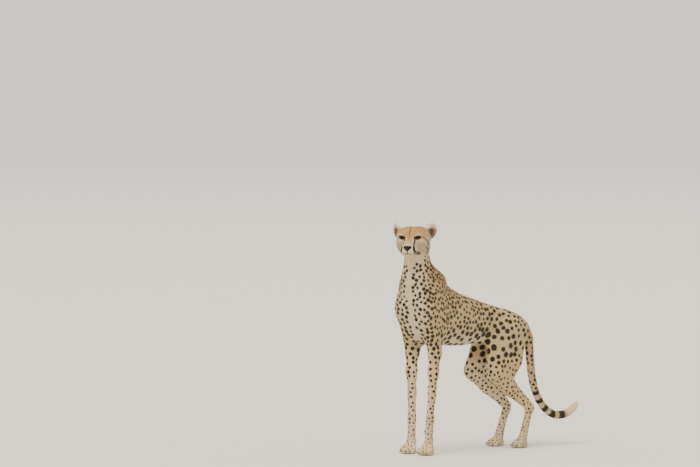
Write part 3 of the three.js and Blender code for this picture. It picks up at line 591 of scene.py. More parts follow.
TAIL_LINE = np.array([(0, 648, 556), (1, 678, 510), (3, 686, 436), (6, 692, 351), (9, 708, 266),
                      (12, 746, 190), (15, 808, 142), (17, 880, 146), (18, 932, 190)], float)
TAIL_AT = np.concatenate([[0], np.cumsum(np.linalg.norm(np.diff(TAIL_LINE, axis=0), axis=1))])
TAIL_WHITE = 80.0  # length of the white end of the tail
TAIL_RINGS = [(285, 9), (243, 10), (200, 11), (155, 13), (106, 15)]  # distance from the end, half width
TAIL_SPOTTED = 300.0  # the tail has spots down to this distance from its end
EAR = np.array([80.0, 0.0, 31.0])  # the middle of the left ear, on the head
EAR_YAW = math.radians(48)
HEAD_LOW = 890.0  # the head is what lies above this height and ahead of HEAD_BACK
HEAD_BACK = 90.0


def blend(low, high, share):
    """From low to high by a share at each place."""
    return low + (high - low) * np.asarray(share)[:, None]


def legs_of(places):
    """1 on the legs and feet, 0 on the trunk."""
    x, y, z = places.T
    fore = (y < 180) * eased((500 - z) / 60)
    hind = (y >= 180) * eased((430 + 0.25 * (y - 420) - z) / 60)
    return np.where(tail_of(places) > 0.5, 0, np.maximum(fore, hind))


def tail_of(places):
    """1 on the tail, from where it leaves the rump."""
    x, y, z = places.T
    return eased((y - 655 + 0.15 * (z - 520)) / 12) * (np.abs(x) < 50) * (z < 620)


def along_tail(places):
    """How far along the tail a place is, in millimetres."""
    best = np.full(len(places), 1e9)
    found = np.zeros(len(places))
    for start, end, at in zip(TAIL_LINE[:-1], TAIL_LINE[1:], TAIL_AT[:-1]):
        step = end - start
        t = np.clip((places - start) @ step / (step @ step), 0, 1)
        far = np.linalg.norm(places - start - t[:, None] * step, axis=1)
        found = np.where(far < best, at + t * np.linalg.norm(step), found)
        best = np.minimum(best, far)
    return found


def to_tail_end(places):
    """How far a place is from the end of the tail, in millimetres."""
    return TAIL_AT[-1] - along_tail(places)


def on_ear(places):
    """Places as seen from the front of the ear: across it, up it, and ahead of its middle."""
    v, u, w = on_head(places).T
    a = np.abs(v) - EAR[0]
    c, s = math.cos(EAR_YAW), math.sin(EAR_YAW)
    return a * c - u * s, w - EAR[2], a * s + u * c


def ground_at(places, outward):
    """The colour between the spots. outward is the direction in which the skin faces at each place."""
    x, y, z = places.T
    legs = legs_of(places)
    colour = blend(FLANK, TAN, eased((z - 610) / 150) * (0.25 + 0.75 * eased((outward[:, 2] + 0.1) / 0.7)))
    belly = eased((-0.2 - outward[:, 2]) / 0.5) * eased((y + 20) / 60) * (z < 600)
    colour = blend(colour, CREAM, belly * (1 - legs))
    from_front = np.degrees(np.arctan2(np.abs(x - 4), 18 - y))
    bib = eased((60 - from_front) / 42) * eased((40 - y) / 30) * eased((z - 430) / 60)
    colour = blend(colour, CREAM, bib * 0.95)
    inside_leg = eased((0.25 - outward[:, 0] * np.sign(x)) / 0.7)
    pale_foot = 0.3 * eased((90 - z) / 60)
    colour = blend(colour, CREAM, legs * (0.85 * inside_leg + pale_foot * (1 - inside_leg)))

    half = folded(on_head(places))
    a, u, w = half.T
    face = blend(CHEEK, FOREHEAD, eased((w + 4 + 0.1 * u) / 16) * eased((74 - a) / 16))
    face = blend(face, FOREHEAD, 0.85 * eased((19 - a) / 9) * eased((w + 34) / 14) * eased((u - 20) / 20))
    face = blend(face, TAN, eased((10 - u) / 30) * eased((w + 20) / 40))
    face = blend(face, TAN, eased((-2 - u) / 34))
    face = blend(face, MUZZLE, eased((u - 66) / 14) * eased((-24 - w - 0.15 * a) / 12))
    face = blend(face, MUZZLE, 0.9 * bump_at(half, (38, 76, -13), (16, 30, 7)))
    face = blend(face, CREAM, 0.8 * bump_at(half, (44, 66, 13), (11, 30, 4.5)))
    face = blend(face, ORANGE, 0.5 * bump_at(half, (17, 70, 18), (9, 30, 9)))
    face = blend(face, CREAM, 0.9 * eased((-64 - w + 0.1 * u) / 14))
    head = eased((z - HEAD_LOW) / 26) * (y < HEAD_BACK)
    colour = blend(colour, face, head)

    across, up, ahead = on_ear(places)
    # The front of the ear is painted darker towards its hollow, as painted shade of the cup, with cream fur
    # at the tip.
    cup = np.hypot((across + 5) / 28, (up + 8) / 32)
    ear_front = blend(CHEEK, EAR_CUP_SHADE, eased((1.25 - cup) / 0.5))
    ear_front = blend(ear_front, EAR_HOLLOW_SHADE, eased((0.95 - np.hypot((across + 4) / 17, (up + 4) / 24)) / 0.5))
    ear_front = blend(ear_front, EAR_TIP, eased((up - 5 + 0.15 * np.abs(across)) / 14))
    ear_back = blend(EAR_BACK, EAR_TIP, eased((up - 14 + 0.15 * np.abs(across)) / 10))
    to_front = outward @ np.array([0, -1, 0]) * math.cos(EAR_YAW)
    to_front += outward[:, 0] * np.sign(x - HEAD[0]) * math.sin(EAR_YAW)
    ear = blend(ear_back, ear_front, eased((to_front + 0.35) / 0.3))
    colour = blend(colour, ear, ear_share(places))

    tail_colour = blend(TAN, CREAM, 0.7 * eased((0.1 - outward[:, 1]) / 0.6))
    tail_colour = blend(tail_colour, CREAM, eased((TAIL_WHITE - to_tail_end(places)) / 12))
    return blend(colour, tail_colour, tail_of(places))


# Each mark is a soft-edged ellipse on the skin, and a stroke is a row of them.
TEAR_HALF = (3.2, 7.2)  # half the width of the tear line, at the eye and at the lip
TEAR_BOW = 3.0  # how far it bends towards the nose
TEAR_END = 95.0  # how far forward on the lip it ends
EYE_HALF = 11.0  # from the middle of the eye to its inner corner
EYE_LINE = (26.0, 33.0)  # how far the line behind the eye runs back and down
CHEEK_STEP = (10.0, 11.0)  # from one cheek spot to the next, back and down
CHEEK_ROWS = ((40.0, -41.0, 5), (22.0, -46.0, 3))  # where each row starts, forward and up, and its spots
CHEEK_SPOT = 4.3
CROWN_LINE = (-8.0, 48.0)  # the faint line up the middle of the forehead, from and to
BIB_HALF = 17.0  # half the width of the pale band down throat and chest that has no spots
MUZZLE_DOTS = [  # where whiskers grow
    (17, 114, -54), (23, 111, -53), (28, 106, -52), (18, 114, -60), (24, 110, -59), (29, 104, -58),
    (19, 112, -66), (25, 107, -65),
]
DOT = (0.9, 0.5)  # radius and strength
SPOT_CROWDING = 0.84  # all the scattered spots are drawn together by this, and keep their size


def spot_spacing(places):
    """How far apart the scattered spots are, in millimetres, and their size as a share of that."""
    x, y, z = places.T
    v, u, w = on_head(places).T
    side = np.abs(x)
    gap = np.interp(y, [-60, 60, 200, 330, 420, 520, 640], [23, 24, 25, 25, 27, 27, 22])
    gap = np.where(z > 700, np.interp(y, [-60, 60, 300, 640], [20.5, 21, 22, 20]), gap)
    share = np.interp(y, [0, 180, 380, 470, 600], [0.345, 0.34, 0.33, 0.34, 0.31])
    from_below = np.degrees(np.arctan2(side, 640 - z))
    gap = gap + 14 * eased((60 - from_below) / 40) * (z < 640) * (y > 20)
    legs = legs_of(places)
    leg_gap = np.interp(z, [0, 60, 120, 250, 400, 500], [13, 15, 19, 22, 27, 28])
    gap = gap * (1 - legs) + leg_gap * legs
    share = share * (1 - legs) + np.interp(z, [0, 100, 300, 450], [0.2, 0.23, 0.25, 0.3]) * legs
    tail = tail_of(places)
    gap = np.where(tail > 0.5, 21, gap)
    share = np.where(tail > 0.5, 0.31, share)
    head = (z > HEAD_LOW) & (y < HEAD_BACK)
    crown = head & ((w > 24) | (u < 0))
    gap = np.where(crown, np.interp(u, [-60, 0, 40], [15, 11.5, 9]), np.where(head, 9.5, gap))
    share = np.where(crown, np.interp(u, [0, 40], [0.25, 0.19]), np.where(head, 0.14, share))
    return gap * SPOT_CROWDING, share / SPOT_CROWDING


def triangles_of(mesh):
    """The corners of a mesh's triangles, and their areas."""
    mesh.calc_loop_triangles()
    corners = np.empty(len(mesh.loop_triangles) * 3, np.int32)
    mesh.loop_triangles.foreach_get("vertices", corners)
    corners = corners.reshape(-1, 3)
    a, b, c = points_of(mesh)[corners].transpose(1, 0, 2)
    return corners, np.linalg.norm(np.cross(b - a, c - a), axis=1) / 2


def spread_over(corners, weights, count, rng):
    """Random places on triangles, evenly by weight: the triangle of each and its shares of the corners."""
    steps = (np.arange(count) + rng.random(count)) / count * weights.sum()
    picked = np.searchsorted(weights.cumsum(), steps).clip(0, len(weights) - 1)
    return corners[picked], rng.dirichlet((1, 1, 1), count)


def mixed(values, corners, shares):
    """Values at the corners of triangles, at the places that the shares give."""
    return (values[corners] * shares[:, :, None]).sum(1)


def straight_outward(mesh):
    """The direction in which the skin faces, with the animal laid out straight."""
    points = points_of(mesh)
    ahead = straight(points + normals_of(mesh) * 0.001) - straight(points)
    return ahead / np.maximum(np.linalg.norm(ahead, axis=1, keepdims=True), 1e-9)


rng = np.random.default_rng(41)
place = straight(points_of(skin.data))
outward = straight_outward(skin.data)
skin_faces = [tuple(f.vertices) for f in skin.data.polygons]
skin_surface = BVHTree.FromPolygons([tuple(p) for p in place], skin_faces)


def on_skin(spot):
    """The place on the skin nearest a spot on the straight body."""
    return np.array(skin_surface.find_nearest(tuple(spot))[0])


def pushed_apart(tries, taken, gap):
    """Which of the tries, in order, keep their own gap from the places taken or chosen before them."""
    chosen = []
    grid = {}
    cell = 40.0  # more than the widest gap
    for at in taken:
        grid.setdefault(tuple((at // cell).astype(int)), []).append(at)
    for i, at in enumerate(tries):
        home = (at // cell).astype(int)
        near = [p for dx in (-1, 0, 1) for dy in (-1, 0, 1) for dz in (-1, 0, 1)
                for p in grid.get((home[0] + dx, home[1] + dy, home[2] + dz), ())]
        if near and (np.linalg.norm(np.array(near) - at, axis=1) < gap[i]).any():
            continue
        grid.setdefault(tuple(home), []).append(at)
        chosen.append(i)
    return chosen


def surface_towards(start, way):
    """The first place on the skin from a head place along a head direction, or nothing."""
    hit = skin_surface.ray_cast(tuple(face_place(*start)), (way[0], -way[1], way[2]))[0]
    return None if hit is None else tuple(hit)


def search_tree(places):
    """The places, sorted so that the near ones are quickly found."""
    tree = KDTree(len(places))
    for i, at in enumerate(places):
        tree.insert(at, i)
    tree.balance()
    return tree


# The mouth line on the skin, from one corner round the front of the muzzle to the other and up to the nose.
MOUTH_STEP = 0.8
mouth_points = []
for v in np.arange(-30, 30.1, MOUTH_STEP):
    mouth_points.append(surface_towards((v, 160, mouth_height(v, 100)), (0, -1, 0)))
for u in np.arange(MOUTH_CORNER + 3, 104, MOUTH_STEP):
    for side in (1, -1):
        mouth_points.append(surface_towards((70 * side, u, mouth_height(30, u)), (-side, 0, 0)))
for w in np.arange(-73, -58, MOUTH_STEP):
    mouth_points.append(surface_towards((0, 160, w), (0, -1, 0)))
mouth_line = search_tree([p for p in mouth_points if p])
MOUTH_BLACK = 1.5  # half the width of the black line along the mouth
LIDS_BLACK = 2.6  # width of the black round the opening of the lids
LINE_STRENGTH = 0.99
FAR_OUTSIDE = 12.0  # stands for a place that no mark is near


def from_mouth(places):
    """How far each place on the front of the head is from the mouth line; FAR_OUTSIDE elsewhere."""
    near = (places[:, 2] > 880) & (places[:, 1] < HEAD[1])
    return np.array([mouth_line.find(at)[2] if close else FAR_OUTSIDE for at, close in zip(places, near)])


marks = []  # place, radius, strength, long axis and stretch of each mark
STROKE_STEP = 1.5  # between the marks of a stroke


def add_mark(at, radius, strength=1.0, lean=(0, 0, 0), stretch=1.0):
    """A mark at a place on the skin. Dark and light mix as light does, so a middling strength is raised."""
    marks.append((*at, radius, 1 - (1 - strength) ** 2, *lean, stretch))


def add_stroke(points, strength):
    """A line of marks close together, along points with half widths, on the skin."""
    points = np.array(points, float)
    length = np.concatenate([[0], np.cumsum(np.linalg.norm(np.diff(points[:, :3], axis=0), axis=1))])
    for t in np.linspace(0, length[-1], max(2, int(length[-1] / STROKE_STEP))):
        *at, radius = (np.interp(t, length, points[:, k]) for k in range(4))
        add_mark(on_skin(at), radius, strength)


def face_line(places, halves, strength):
    """A stroke over places on the skin, left out where a ray found none."""
    found = [(*at, half) for at, half in zip(places, halves) if at]
    add_stroke(found, strength)


share_along = np.linspace(0, 1, 13)
for side in (1, -1):
    lip_height = mouth_height(EYE[0], TEAR_END)
    tear = []
    for t in share_along:
        across = EYE[0] - EYE_HALF * (1 - t) - TEAR_BOW * math.sin(math.pi * t)
        tear.append(surface_towards((side * across, 160, EYE[2] + (lip_height - EYE[2]) * t), (0, -1, 0)))
    face_line(tear, TEAR_HALF[0] + (TEAR_HALF[1] - TEAR_HALF[0]) * share_along**1.5, 1.0)
    behind = []
    for t in share_along:
        start = (side * 110, EYE[1] - 2 - EYE_LINE[0] * t, EYE[2] + 1 - EYE_LINE[1] * t**1.6)
        behind.append(surface_towards(start, (-side, 0, 0)))
    face_line(behind, 2 + 2.2 * np.sqrt(share_along), 1.0)
    for ahead, up, count in CHEEK_ROWS:
        for step in range(count):
            back, down = CHEEK_STEP[0] * step + rng.normal(0, 1.5), CHEEK_STEP[1] * step + rng.normal(0, 1.5)
            at = surface_towards((side * 110, ahead - back, up - down), (-side, 0, 0))
            if at:
                add_mark(at, CHEEK_SPOT * rng.uniform(0.85, 1.15), 0.95, rng.normal(0, 1, 3), 1.2)
middle = [surface_towards((0, 160, up), (0, -1, 0)) for up in np.linspace(*CROWN_LINE, len(share_along))]
face_line(middle, 1.2 + 1.6 * share_along, 0.62)
for v, u, w in MUZZLE_DOTS:
    for side in (1, -1):
        add_mark(on_skin(face_place(side * v, u, w)), *DOT)

# The scattered spots. The bib, muzzle, eyes, chin, ears, soles and the end of the tail have none of them.
SPOT_TRIES = 40000
corners, areas = triangles_of(skin.data)
tries = mixed(place, *spread_over(corners, areas, SPOT_TRIES, rng))
tries = tries[rng.permutation(len(tries))]
gap, share = spot_spacing(tries)
x, y, z = tries.T
v, u, w = on_head(tries).T
on_bib = (np.abs(x) < BIB_HALF) & (z < 895) & (y < 0)
on_muzzle = (z > HEAD_LOW) & (u > 62) & (w < 6)
on_eye = (np.hypot(np.abs(v) - EYE[0], w - EYE[2]) < 22) & (u > 30) & (z > HEAD_LOW)
chin = (z > 860) & (u > 0) & (w < -74) & (y < 60)
bare = on_bib | on_muzzle | on_eye | chin | (ear_share(tries) > 0.1)
bare |= (z < 12) | (tail_of(tries) > 0.5) & (to_tail_end(tries) < TAIL_SPOTTED)
on_face = (u > 0) & (z > HEAD_LOW) & (gap < 10)
tries, gap, share, on_face = (a[~bare] for a in (tries, gap, share, on_face))
taken = np.array([mark[:3] for mark in marks])
for i in pushed_apart(tries, taken, gap * rng.uniform(0.86, 1.04, len(gap))):
    radius = gap[i] * share[i] * rng.uniform(0.82, 1.18)
    lean = rng.normal(0, 1, 3)
    add_mark(tries[i], radius, 0.45 if on_face[i] else 1.0, lean, rng.uniform(1, 1.35))
marks = np.array(marks)


def marks_at(places):
    """How far each place is outside the nearest mark, less than 0 inside it, and the mark's strength."""
    tree = search_tree(places)
    outside = np.full(len(places), FAR_OUTSIDE)
    strength = np.ones(len(places))
    for mx, my, mz, radius, power, lx, ly, lz, stretch in marks:
        found = tree.find_range((mx, my, mz), radius * stretch + 8)
        if not found:
            continue
        near = np.array([f[1] for f in found])
        away = places[near] - (mx, my, mz)
        far = np.linalg.norm(away, axis=1)
        if stretch > 1:
            lean = np.array([lx, ly, lz]) / math.sqrt(lx * lx + ly * ly + lz * lz)
            along = away @ lean
            far = np.sqrt(np.maximum(far**2 - along**2, 0) * stretch + along**2 / stretch)
        gap = far - radius
        closer = gap < outside[near]
        outside[near[closer]] = gap[closer]
        strength[near[closer]] = power
    # the rings of the tail
    to_end = to_tail_end(places)
    ring = np.full(len(places), FAR_OUTSIDE)
    for middle, half in TAIL_RINGS:
        ring = np.minimum(ring, np.abs(to_end - middle + 0.12 * places[:, 0]) - half)
    outside = np.where((tail_of(places) > 0.5) & (ring < outside), ring, outside)
    # the mouth line, and the black of the lids round each eye, wider towards its inner corner
    line = from_mouth(places) - MOUTH_BLACK
    for side in (1, -1):
        a, b, c = ((on_head(places) - EYE * np.array([side, 1, 1])) @ eye_axes(side).T).T
        lids = lid_edge(a, b)[0] - LIDS_BLACK - 0.12 * np.maximum(-a, 0)
        line = np.minimum(line, np.where((c > 4) & (places[:, 2] > HEAD_LOW), lids, FAR_OUTSIDE))
    strength = np.where(line < outside, LINE_STRENGTH, strength)
    return np.minimum(outside, line), strength


skin_ground = ground_at(place, outward)
skin_marks, skin_strength = marks_at(place)


def keep(mesh, name, kind, values):
    """Keeps a value at every point of a mesh, for its material to read."""
    attribute = mesh.attributes.new(name, kind, "POINT")
    if kind == "FLOAT_COLOR":
        values = np.concatenate([values, np.ones((len(values), 1))], 1)
        attribute.data.foreach_set("color", np.asarray(values, np.float32).ravel())
    else:
        attribute.data.foreach_set("value", np.asarray(values, np.float32))


keep(skin.data, "ground", "FLOAT_COLOR", skin_ground)
keep(skin.data, "outside_marks", "FLOAT", skin_marks)
keep(skin.data, "mark_strength", "FLOAT", skin_strength)


def noise(where, scale, detail):
    """Cloudy noise, scale of its clouds in a metre."""
    return node("ShaderNodeTexNoise", {"Vector": where, "Scale": scale, "Detail": detail}).outputs["Fac"]


def spread_out(value, low, high, to_low=0.0, to_high=1.0):
    """A value from low to high, spread out from to_low to to_high."""
    limits = {"From Min": low, "From Max": high, "To Min": to_low, "To Max": to_high}
    return node("ShaderNodeMapRange", {"Value": value, **limits}).outputs["Result"]


def colour_mix(share, first, second, how="MIX"):
    """The first colour with a share of the second."""
    inputs = {"Factor": share, 6: first, 7: second}
    return node("ShaderNodeMix", inputs, data_type="RGBA", blend_type=how).outputs[2]


hide, nodes, links, surface = new_paint("spotted_hide")
where = node("ShaderNodeTexCoord").outputs["Object"]
ground = node("ShaderNodeAttribute", attribute_name="ground").outputs["Color"]
outside = node("ShaderNodeAttribute", attribute_name="outside_marks").outputs["Fac"]
strength = node("ShaderNodeAttribute", attribute_name="mark_strength").outputs["Fac"]
ragged = noise(where, 420, 3)
wander = node("ShaderNodeMath", {0: ragged, 1: 3.2, 2: -1.6}, operation="MULTIPLY_ADD").outputs[0]
edge = node("ShaderNodeMath", {0: outside, 1: wander}, operation="ADD").outputs[0]
inside = spread_out(edge, 1.2, -0.3)
amount = node("ShaderNodeMath", {0: inside, 1: strength}, operation="MULTIPLY").outputs[0]
hairs = noise(where, 900, 2)
toned = colour_mix(1.0, ground, spread_out(hairs, 0.3, 0.7, 0.82, 1.08), "MULTIPLY")
links.new(colour_mix(amount, toned, (*DARK, 1)), surface.inputs["Base Color"])
bump = node("ShaderNodeBump", {"Height": hairs, "Strength": 0.5, "Distance": 0.0006})
links.new(bump.outputs["Normal"], surface.inputs["Normal"])
surface.inputs["Roughness"].default_value = 0.85
surface.inputs["Specular IOR Level"].default_value = 0.2
skin.data.materials.append(hide)
only(skin)
bpy.ops.object.shade_smooth()
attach(skin, "root")
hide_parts(*[n for n in flesh_names if not n.startswith(("eye", "nose"))])

# ---------------------------------------------------------------- eyes
# Each eye is a glass ball with a slightly domed front, a dark brown iris and a round pupil. A black rim of
# bare skin runs round the opening of the lids, and the ball sits as deep in the head as a real one.

GAZE = math.radians(5)
DOME = {"height": 1.2, "edge": 11.0}  # of the clear front, and how far it reaches
PUPIL = 3.9
IRIS = 10.4
PUPIL_BLACK = (0.002, 0.002, 0.002, 1)
BALL_BROWN = (0.02, 0.013, 0.009, 1)  # of the ball round the iris
IRIS_RAMP = ((0.0, (0.03, 0.013, 0.006)), (0.35, (0.046, 0.02, 0.0075)), (0.75, (0.026, 0.011, 0.005)),
             (1.0, (0.006, 0.004, 0.003)))  # from the pupil outwards
RIM = (0.75, 0.55)  # radius of the rim of bare skin above the eye and below it

eye_paint, nodes, links, surface = new_paint("wet_brown_eye")
across = node("ShaderNodeAttribute", attribute_name="across_iris").outputs["Vector"]
far = node("ShaderNodeVectorMath", {0: across}, operation="LENGTH").outputs["Value"]
away = node("ShaderNodeVectorMath", {0: across}, operation="NORMALIZE").outputs["Vector"]
fibres = noise(away, 14, 4)
streak = node("ShaderNodeMath", {0: fibres, 1: 0.5, 2: -0.25}, operation="MULTIPLY_ADD").outputs[0]
tone = node("ShaderNodeMath", {0: spread_out(far, PUPIL, IRIS), 1: streak}, operation="ADD").outputs[0]
iris = node("ShaderNodeValToRGB", {"Fac": tone})
for at, colour in IRIS_RAMP[1:-1]:
    iris.color_ramp.elements.new(at).color = (*colour, 1)
iris.color_ramp.elements[0].color = (*IRIS_RAMP[0][1], 1)
iris.color_ramp.elements[-1].color = (*IRIS_RAMP[-1][1], 1)
seen = colour_mix(spread_out(far, PUPIL - 0.3, PUPIL + 0.3), PUPIL_BLACK, iris.outputs["Color"])
whole = colour_mix(spread_out(far, IRIS - 0.2, IRIS + 0.7), seen, BALL_BROWN)
links.new(whole, surface.inputs["Base Color"])
surface.inputs["Roughness"].default_value = 0.35
surface.inputs["Specular IOR Level"].default_value = 0.05
surface.inputs["Coat Weight"].default_value = 0.15
surface.inputs["Coat Roughness"].default_value = 0.03

rim_paint, nodes, links, surface = new_paint("black_eye_rim")
where = node("ShaderNodeTexCoord").outputs["Object"]
rim_tone = colour_mix(noise(where, 1500, 2), (0.008, 0.006, 0.005, 1), (0.022, 0.017, 0.014, 1))
links.new(rim_tone, surface.inputs["Base Color"])
surface.inputs["Roughness"].default_value = 0.6
surface.inputs["Specular IOR Level"].default_value = 0.2


def round_lines(name, sides):
    """A curve for round lines, a millimetre in radius where a point's own radius is 1."""
    curve = bpy.data.curves.new(name, "CURVE")
    curve.dimensions = "3D"
    curve.bevel_depth = 0.001
    curve.bevel_resolution = sides
    return curve


def add_line(curve, places, radii, closed=False):
    """Adds a line to a curve, through places in the frame."""
    spline = curve.splines.new("POLY")
    spline.points.add(len(places) - 1)
    spline.use_cyclic_u = closed
    for point, at, radius in zip(spline.points, places, radii):
        point.co = (*at, 1)
        point.radius = radius


def made_solid(curve):
    """The curve's lines as the mesh of a new object."""
    lines = bpy.data.objects.new(curve.name, curve)
    bpy.context.scene.collection.objects.link(lines)
    only(lines)
    bpy.ops.object.convert(target="MESH")
    return bpy.context.object


for side, word in ((1, "left"), (-1, "right")):
    axes = eye_axes(side)
    centre = EYE * np.array([side, 1, 1])
    bpy.ops.object.select_all(action="DESELECT")
    bpy.ops.mesh.primitive_uv_sphere_add(segments=72, ring_count=48, radius=1)
    ball = bpy.context.object
    ball.name = f"eyeball_{word}"
    dx, dy, dz = points_of(ball.data).T
    spread = np.hypot(dx, dy) * BALL
    dome = np.where(dz > 0, DOME["height"] * np.maximum(1 - (spread / DOME["edge"]) ** 2, 0), 0)
    reach = (BALL + dome)[:, None]
    turn = GAZE * side
    gaze = np.array([[math.cos(turn), -math.sin(turn), 0], [0, 0, 1], [math.sin(turn), math.cos(turn), 0]])
    head_place = centre + np.stack([dx, dy, dz], -1) * reach @ gaze
    set_points(ball.data, posed(face_place(*head_place.T)))
    attribute = ball.data.attributes.new("across_iris", "FLOAT_VECTOR", "POINT")
    flat = np.stack([dx * BALL, dy * BALL, np.where(dz > 0, 0, 20)], -1)
    attribute.data.foreach_set("vector", flat.astype(np.float32).ravel())
    ball.data.materials.append(eye_paint)
    only(ball)
    bpy.ops.object.mode_set(mode="EDIT")
    bpy.ops.mesh.select_all(action="SELECT")
    bpy.ops.mesh.normals_make_consistent(inside=False)
    bpy.ops.object.mode_set(mode="OBJECT")
    bpy.ops.object.shade_smooth()
    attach(ball, "root")
    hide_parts(f"eye_{word}")

    # the rim: a thin tube round the almond, thickest above and drawn out at the inner corner
    turns = np.linspace(0, 2 * math.pi, 72, endpoint=False)
    a = LID["length"] * np.cos(turns)
    t = np.clip(1 - (a / LID["length"]) ** 2, 0, 1)
    upper = np.sin(turns) > 0
    b = np.where(upper, LID["upper"] * t**0.7, -LID["lower"] * t**0.85) + LID["tilt"] * a
    c = np.sqrt(np.maximum((BALL + 0.85) ** 2 - a**2 - b**2, 25))
    line = np.stack([a, b, c], -1) @ axes + centre
    curve = round_lines(f"eye_rim_{word}", 3)
    add_line(curve, posed(face_place(*line.T)), np.where(upper, *RIM), closed=True)
    rim = made_solid(curve)
    rim.data.materials.append(rim_paint)
    bpy.ops.object.shade_smooth()
    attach(rim, "root")


# ---------------------------------------------------------------- nose
# A pad of bare black leather over the end of the muzzle: an upside-down triangle with a nostril on each
# side and a furrow down its middle. It is raised from the skin under it.

NOSE_TOP = -33.5  # heights on the head
NOSE_END = -60.5
NOSE_RISE = 1.9  # of the pad over the skin
NOSE_UNDER = -1.2  # height of its border, which lies under the skin
NOSE_WALL = 0.0016  # metres
NOSTRIL_DEPTH = 5.0
NOSE_SINK = 6.0  # the skin under the pad is drawn in by this


def nose_zone(places):
    """True on the end of the muzzle, where the nose is."""
    return (places[:, 1] > 92) & (np.abs(places[:, 0]) < 30)


def inside_nose(face):
    """How far inside the outline of the nose leather a head place is, in millimetres."""
    v, u, w = face.T
    a = np.abs(v)
    share = np.clip((w - NOSE_END) / (NOSE_TOP - NOSE_END), 0, 1)
    half = 1.5 + 18.5 * np.sin(0.5 * math.pi * np.clip(share / 0.8, 0, 1)) ** 1.2
    top = NOSE_TOP - 0.5 - 0.009 * a**2 - w
    side = half - a
    both = np.clip(0.5 + 0.5 * (side - top) / 4, 0, 1)
    return np.minimum(side + (top - side) * both - 4 * both * (1 - both), w - NOSE_END + 1)


def nostril(face):
    """1 in the middle of each nostril, a comma that opens to the side."""
    v, u, w = face.T
    a = np.abs(v)
    hole = bump_at(np.stack([a, 0 * a, w + 0.25 * (a - 10)], -1), (9.5, 0, -46), (4.2, 1, 3.3))
    slit = bump_at(np.stack([a, 0 * a, w + 0.1 * (a - 14)], -1), (14.5, 0, -46), (4.5, 1, 1.5))
    return np.maximum(hole, 0.75 * slit)


face = on_head(straight(points_of(skin.data)))
on_nose = nose_zone(face)
within = inside_nose(face)
only(skin)
bpy.ops.object.duplicate()
nose = bpy.context.object
nose.name = "nose_leather"
nose.data.materials.clear()
for attribute in ("ground", "outside_marks", "mark_strength"):
    nose.data.attributes.remove(nose.data.attributes[attribute])
point_kept = on_nose & (within > -3.5)
face_kept = np.array([point_kept[list(f.vertices)].all() for f in nose.data.polygons])
select_faces(nose, ~face_kept)
bpy.ops.mesh.delete(type="FACE")
bpy.ops.mesh.select_all(action="SELECT")
bpy.ops.mesh.subdivide(number_cuts=1, smoothness=0, quadcorner="INNERVERT")
bpy.ops.object.mode_set(mode="OBJECT")
points = points_of(nose.data)
edges = edges_of(nose.data)
set_points(nose.data, averaged(points, edges, 0.5, 4))
moved_out(skin, np.where(on_nose & (within > 0), -NOSE_SINK * eased(within / 3.0), 0))
face = on_head(straight(points_of(nose.data)))
within = inside_nose(face)
rise = NOSE_UNDER + (NOSE_RISE - NOSE_UNDER) * eased((within + 0.9) / 2.6)
rise -= NOSTRIL_DEPTH * nostril(face) * eased((within - 0.6) / 1.6)
rise -= 1.0 * np.exp(-((face[:, 0] / 1.1) ** 2)) * eased((-42 - face[:, 2]) / 4)  # furrow down its middle
rise += 0.8 * bump_at(np.abs(face) * np.array([1, 0, 1]), (8, 0, 38), (6, 1, 4))  # full over the nostrils
moved_out(nose, rise)
apply_modifier(nose, "SOLIDIFY", thickness=NOSE_WALL, offset=-1)
nose_paint, nodes, links, surface = new_paint("nose_leather")
where = node("ShaderNodeTexCoord").outputs["Object"]
pebbles = node("ShaderNodeTexVoronoi", {"Vector": where, "Scale": 900}).outputs["Distance"]
leather = colour_mix(noise(where, 260, 3), (0.004, 0.0036, 0.003, 1), (0.014, 0.012, 0.009, 1))
links.new(leather, surface.inputs["Base Color"])
bump = node("ShaderNodeBump", {"Height": pebbles, "Strength": 0.35, "Distance": 0.0003})
links.new(bump.outputs["Normal"], surface.inputs["Normal"])
surface.inputs["Roughness"].default_value = 0.5
surface.inputs["Specular IOR Level"].default_value = 0.3
nose.data.materials.append(nose_paint)
only(nose)
bpy.ops.object.shade_smooth()
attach(nose, "root")
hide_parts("nose")


# ---------------------------------------------------------------- claws
# Blunt dark horn claws, always out, one on each toe and a dew claw inside each wrist.

claw_names = [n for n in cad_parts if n.startswith("claw")]
claws = copy_of([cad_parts[n] for n in claw_names], "claws")
apply_modifier(claws, "SUBSURF", levels=2, render_levels=2)
horn, nodes, links, surface = new_paint("dark_horn")
where = node("ShaderNodeTexCoord").outputs["Object"]
horn_tone = colour_mix(noise(where, 500, 4), (0.018, 0.013, 0.01, 1), (0.10, 0.075, 0.055, 1))
links.new(horn_tone, surface.inputs["Base Color"])
surface.inputs["Roughness"].default_value = 0.38
claws.data.materials.append(horn)
only(claws)
bpy.ops.object.shade_smooth()
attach(claws, "root")
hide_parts(*claw_names)

# ---------------------------------------------------------------- coat
# Short flat fur in thin overlapping tufts, each a closed spindle that starts under the skin and lies along
# the body. It is longest on the nape, cheeks, belly and tail, and shortest on the face, ears and feet.
# Every tuft has the colour of the markings where it lies.

TUFTS = 244000
PATCH = 0.003  # size of each tuft's patch on the unwrap
TUFT_MIDDLE = 0.34  # where a tuft is thickest, as a share of its length
TUFT_START = 0.0005  # metres that it starts under the skin
TUFT_ROOT_TO_TIP = (0.72, 1, 1, 1, 1.12)  # how light its points are: root, left, ridge, right and tip
DISORDER = 0.16  # how far the tufts stray from the lie of the coat
MOUTH_BARE = 1.1  # no tuft grows this near the mouth line


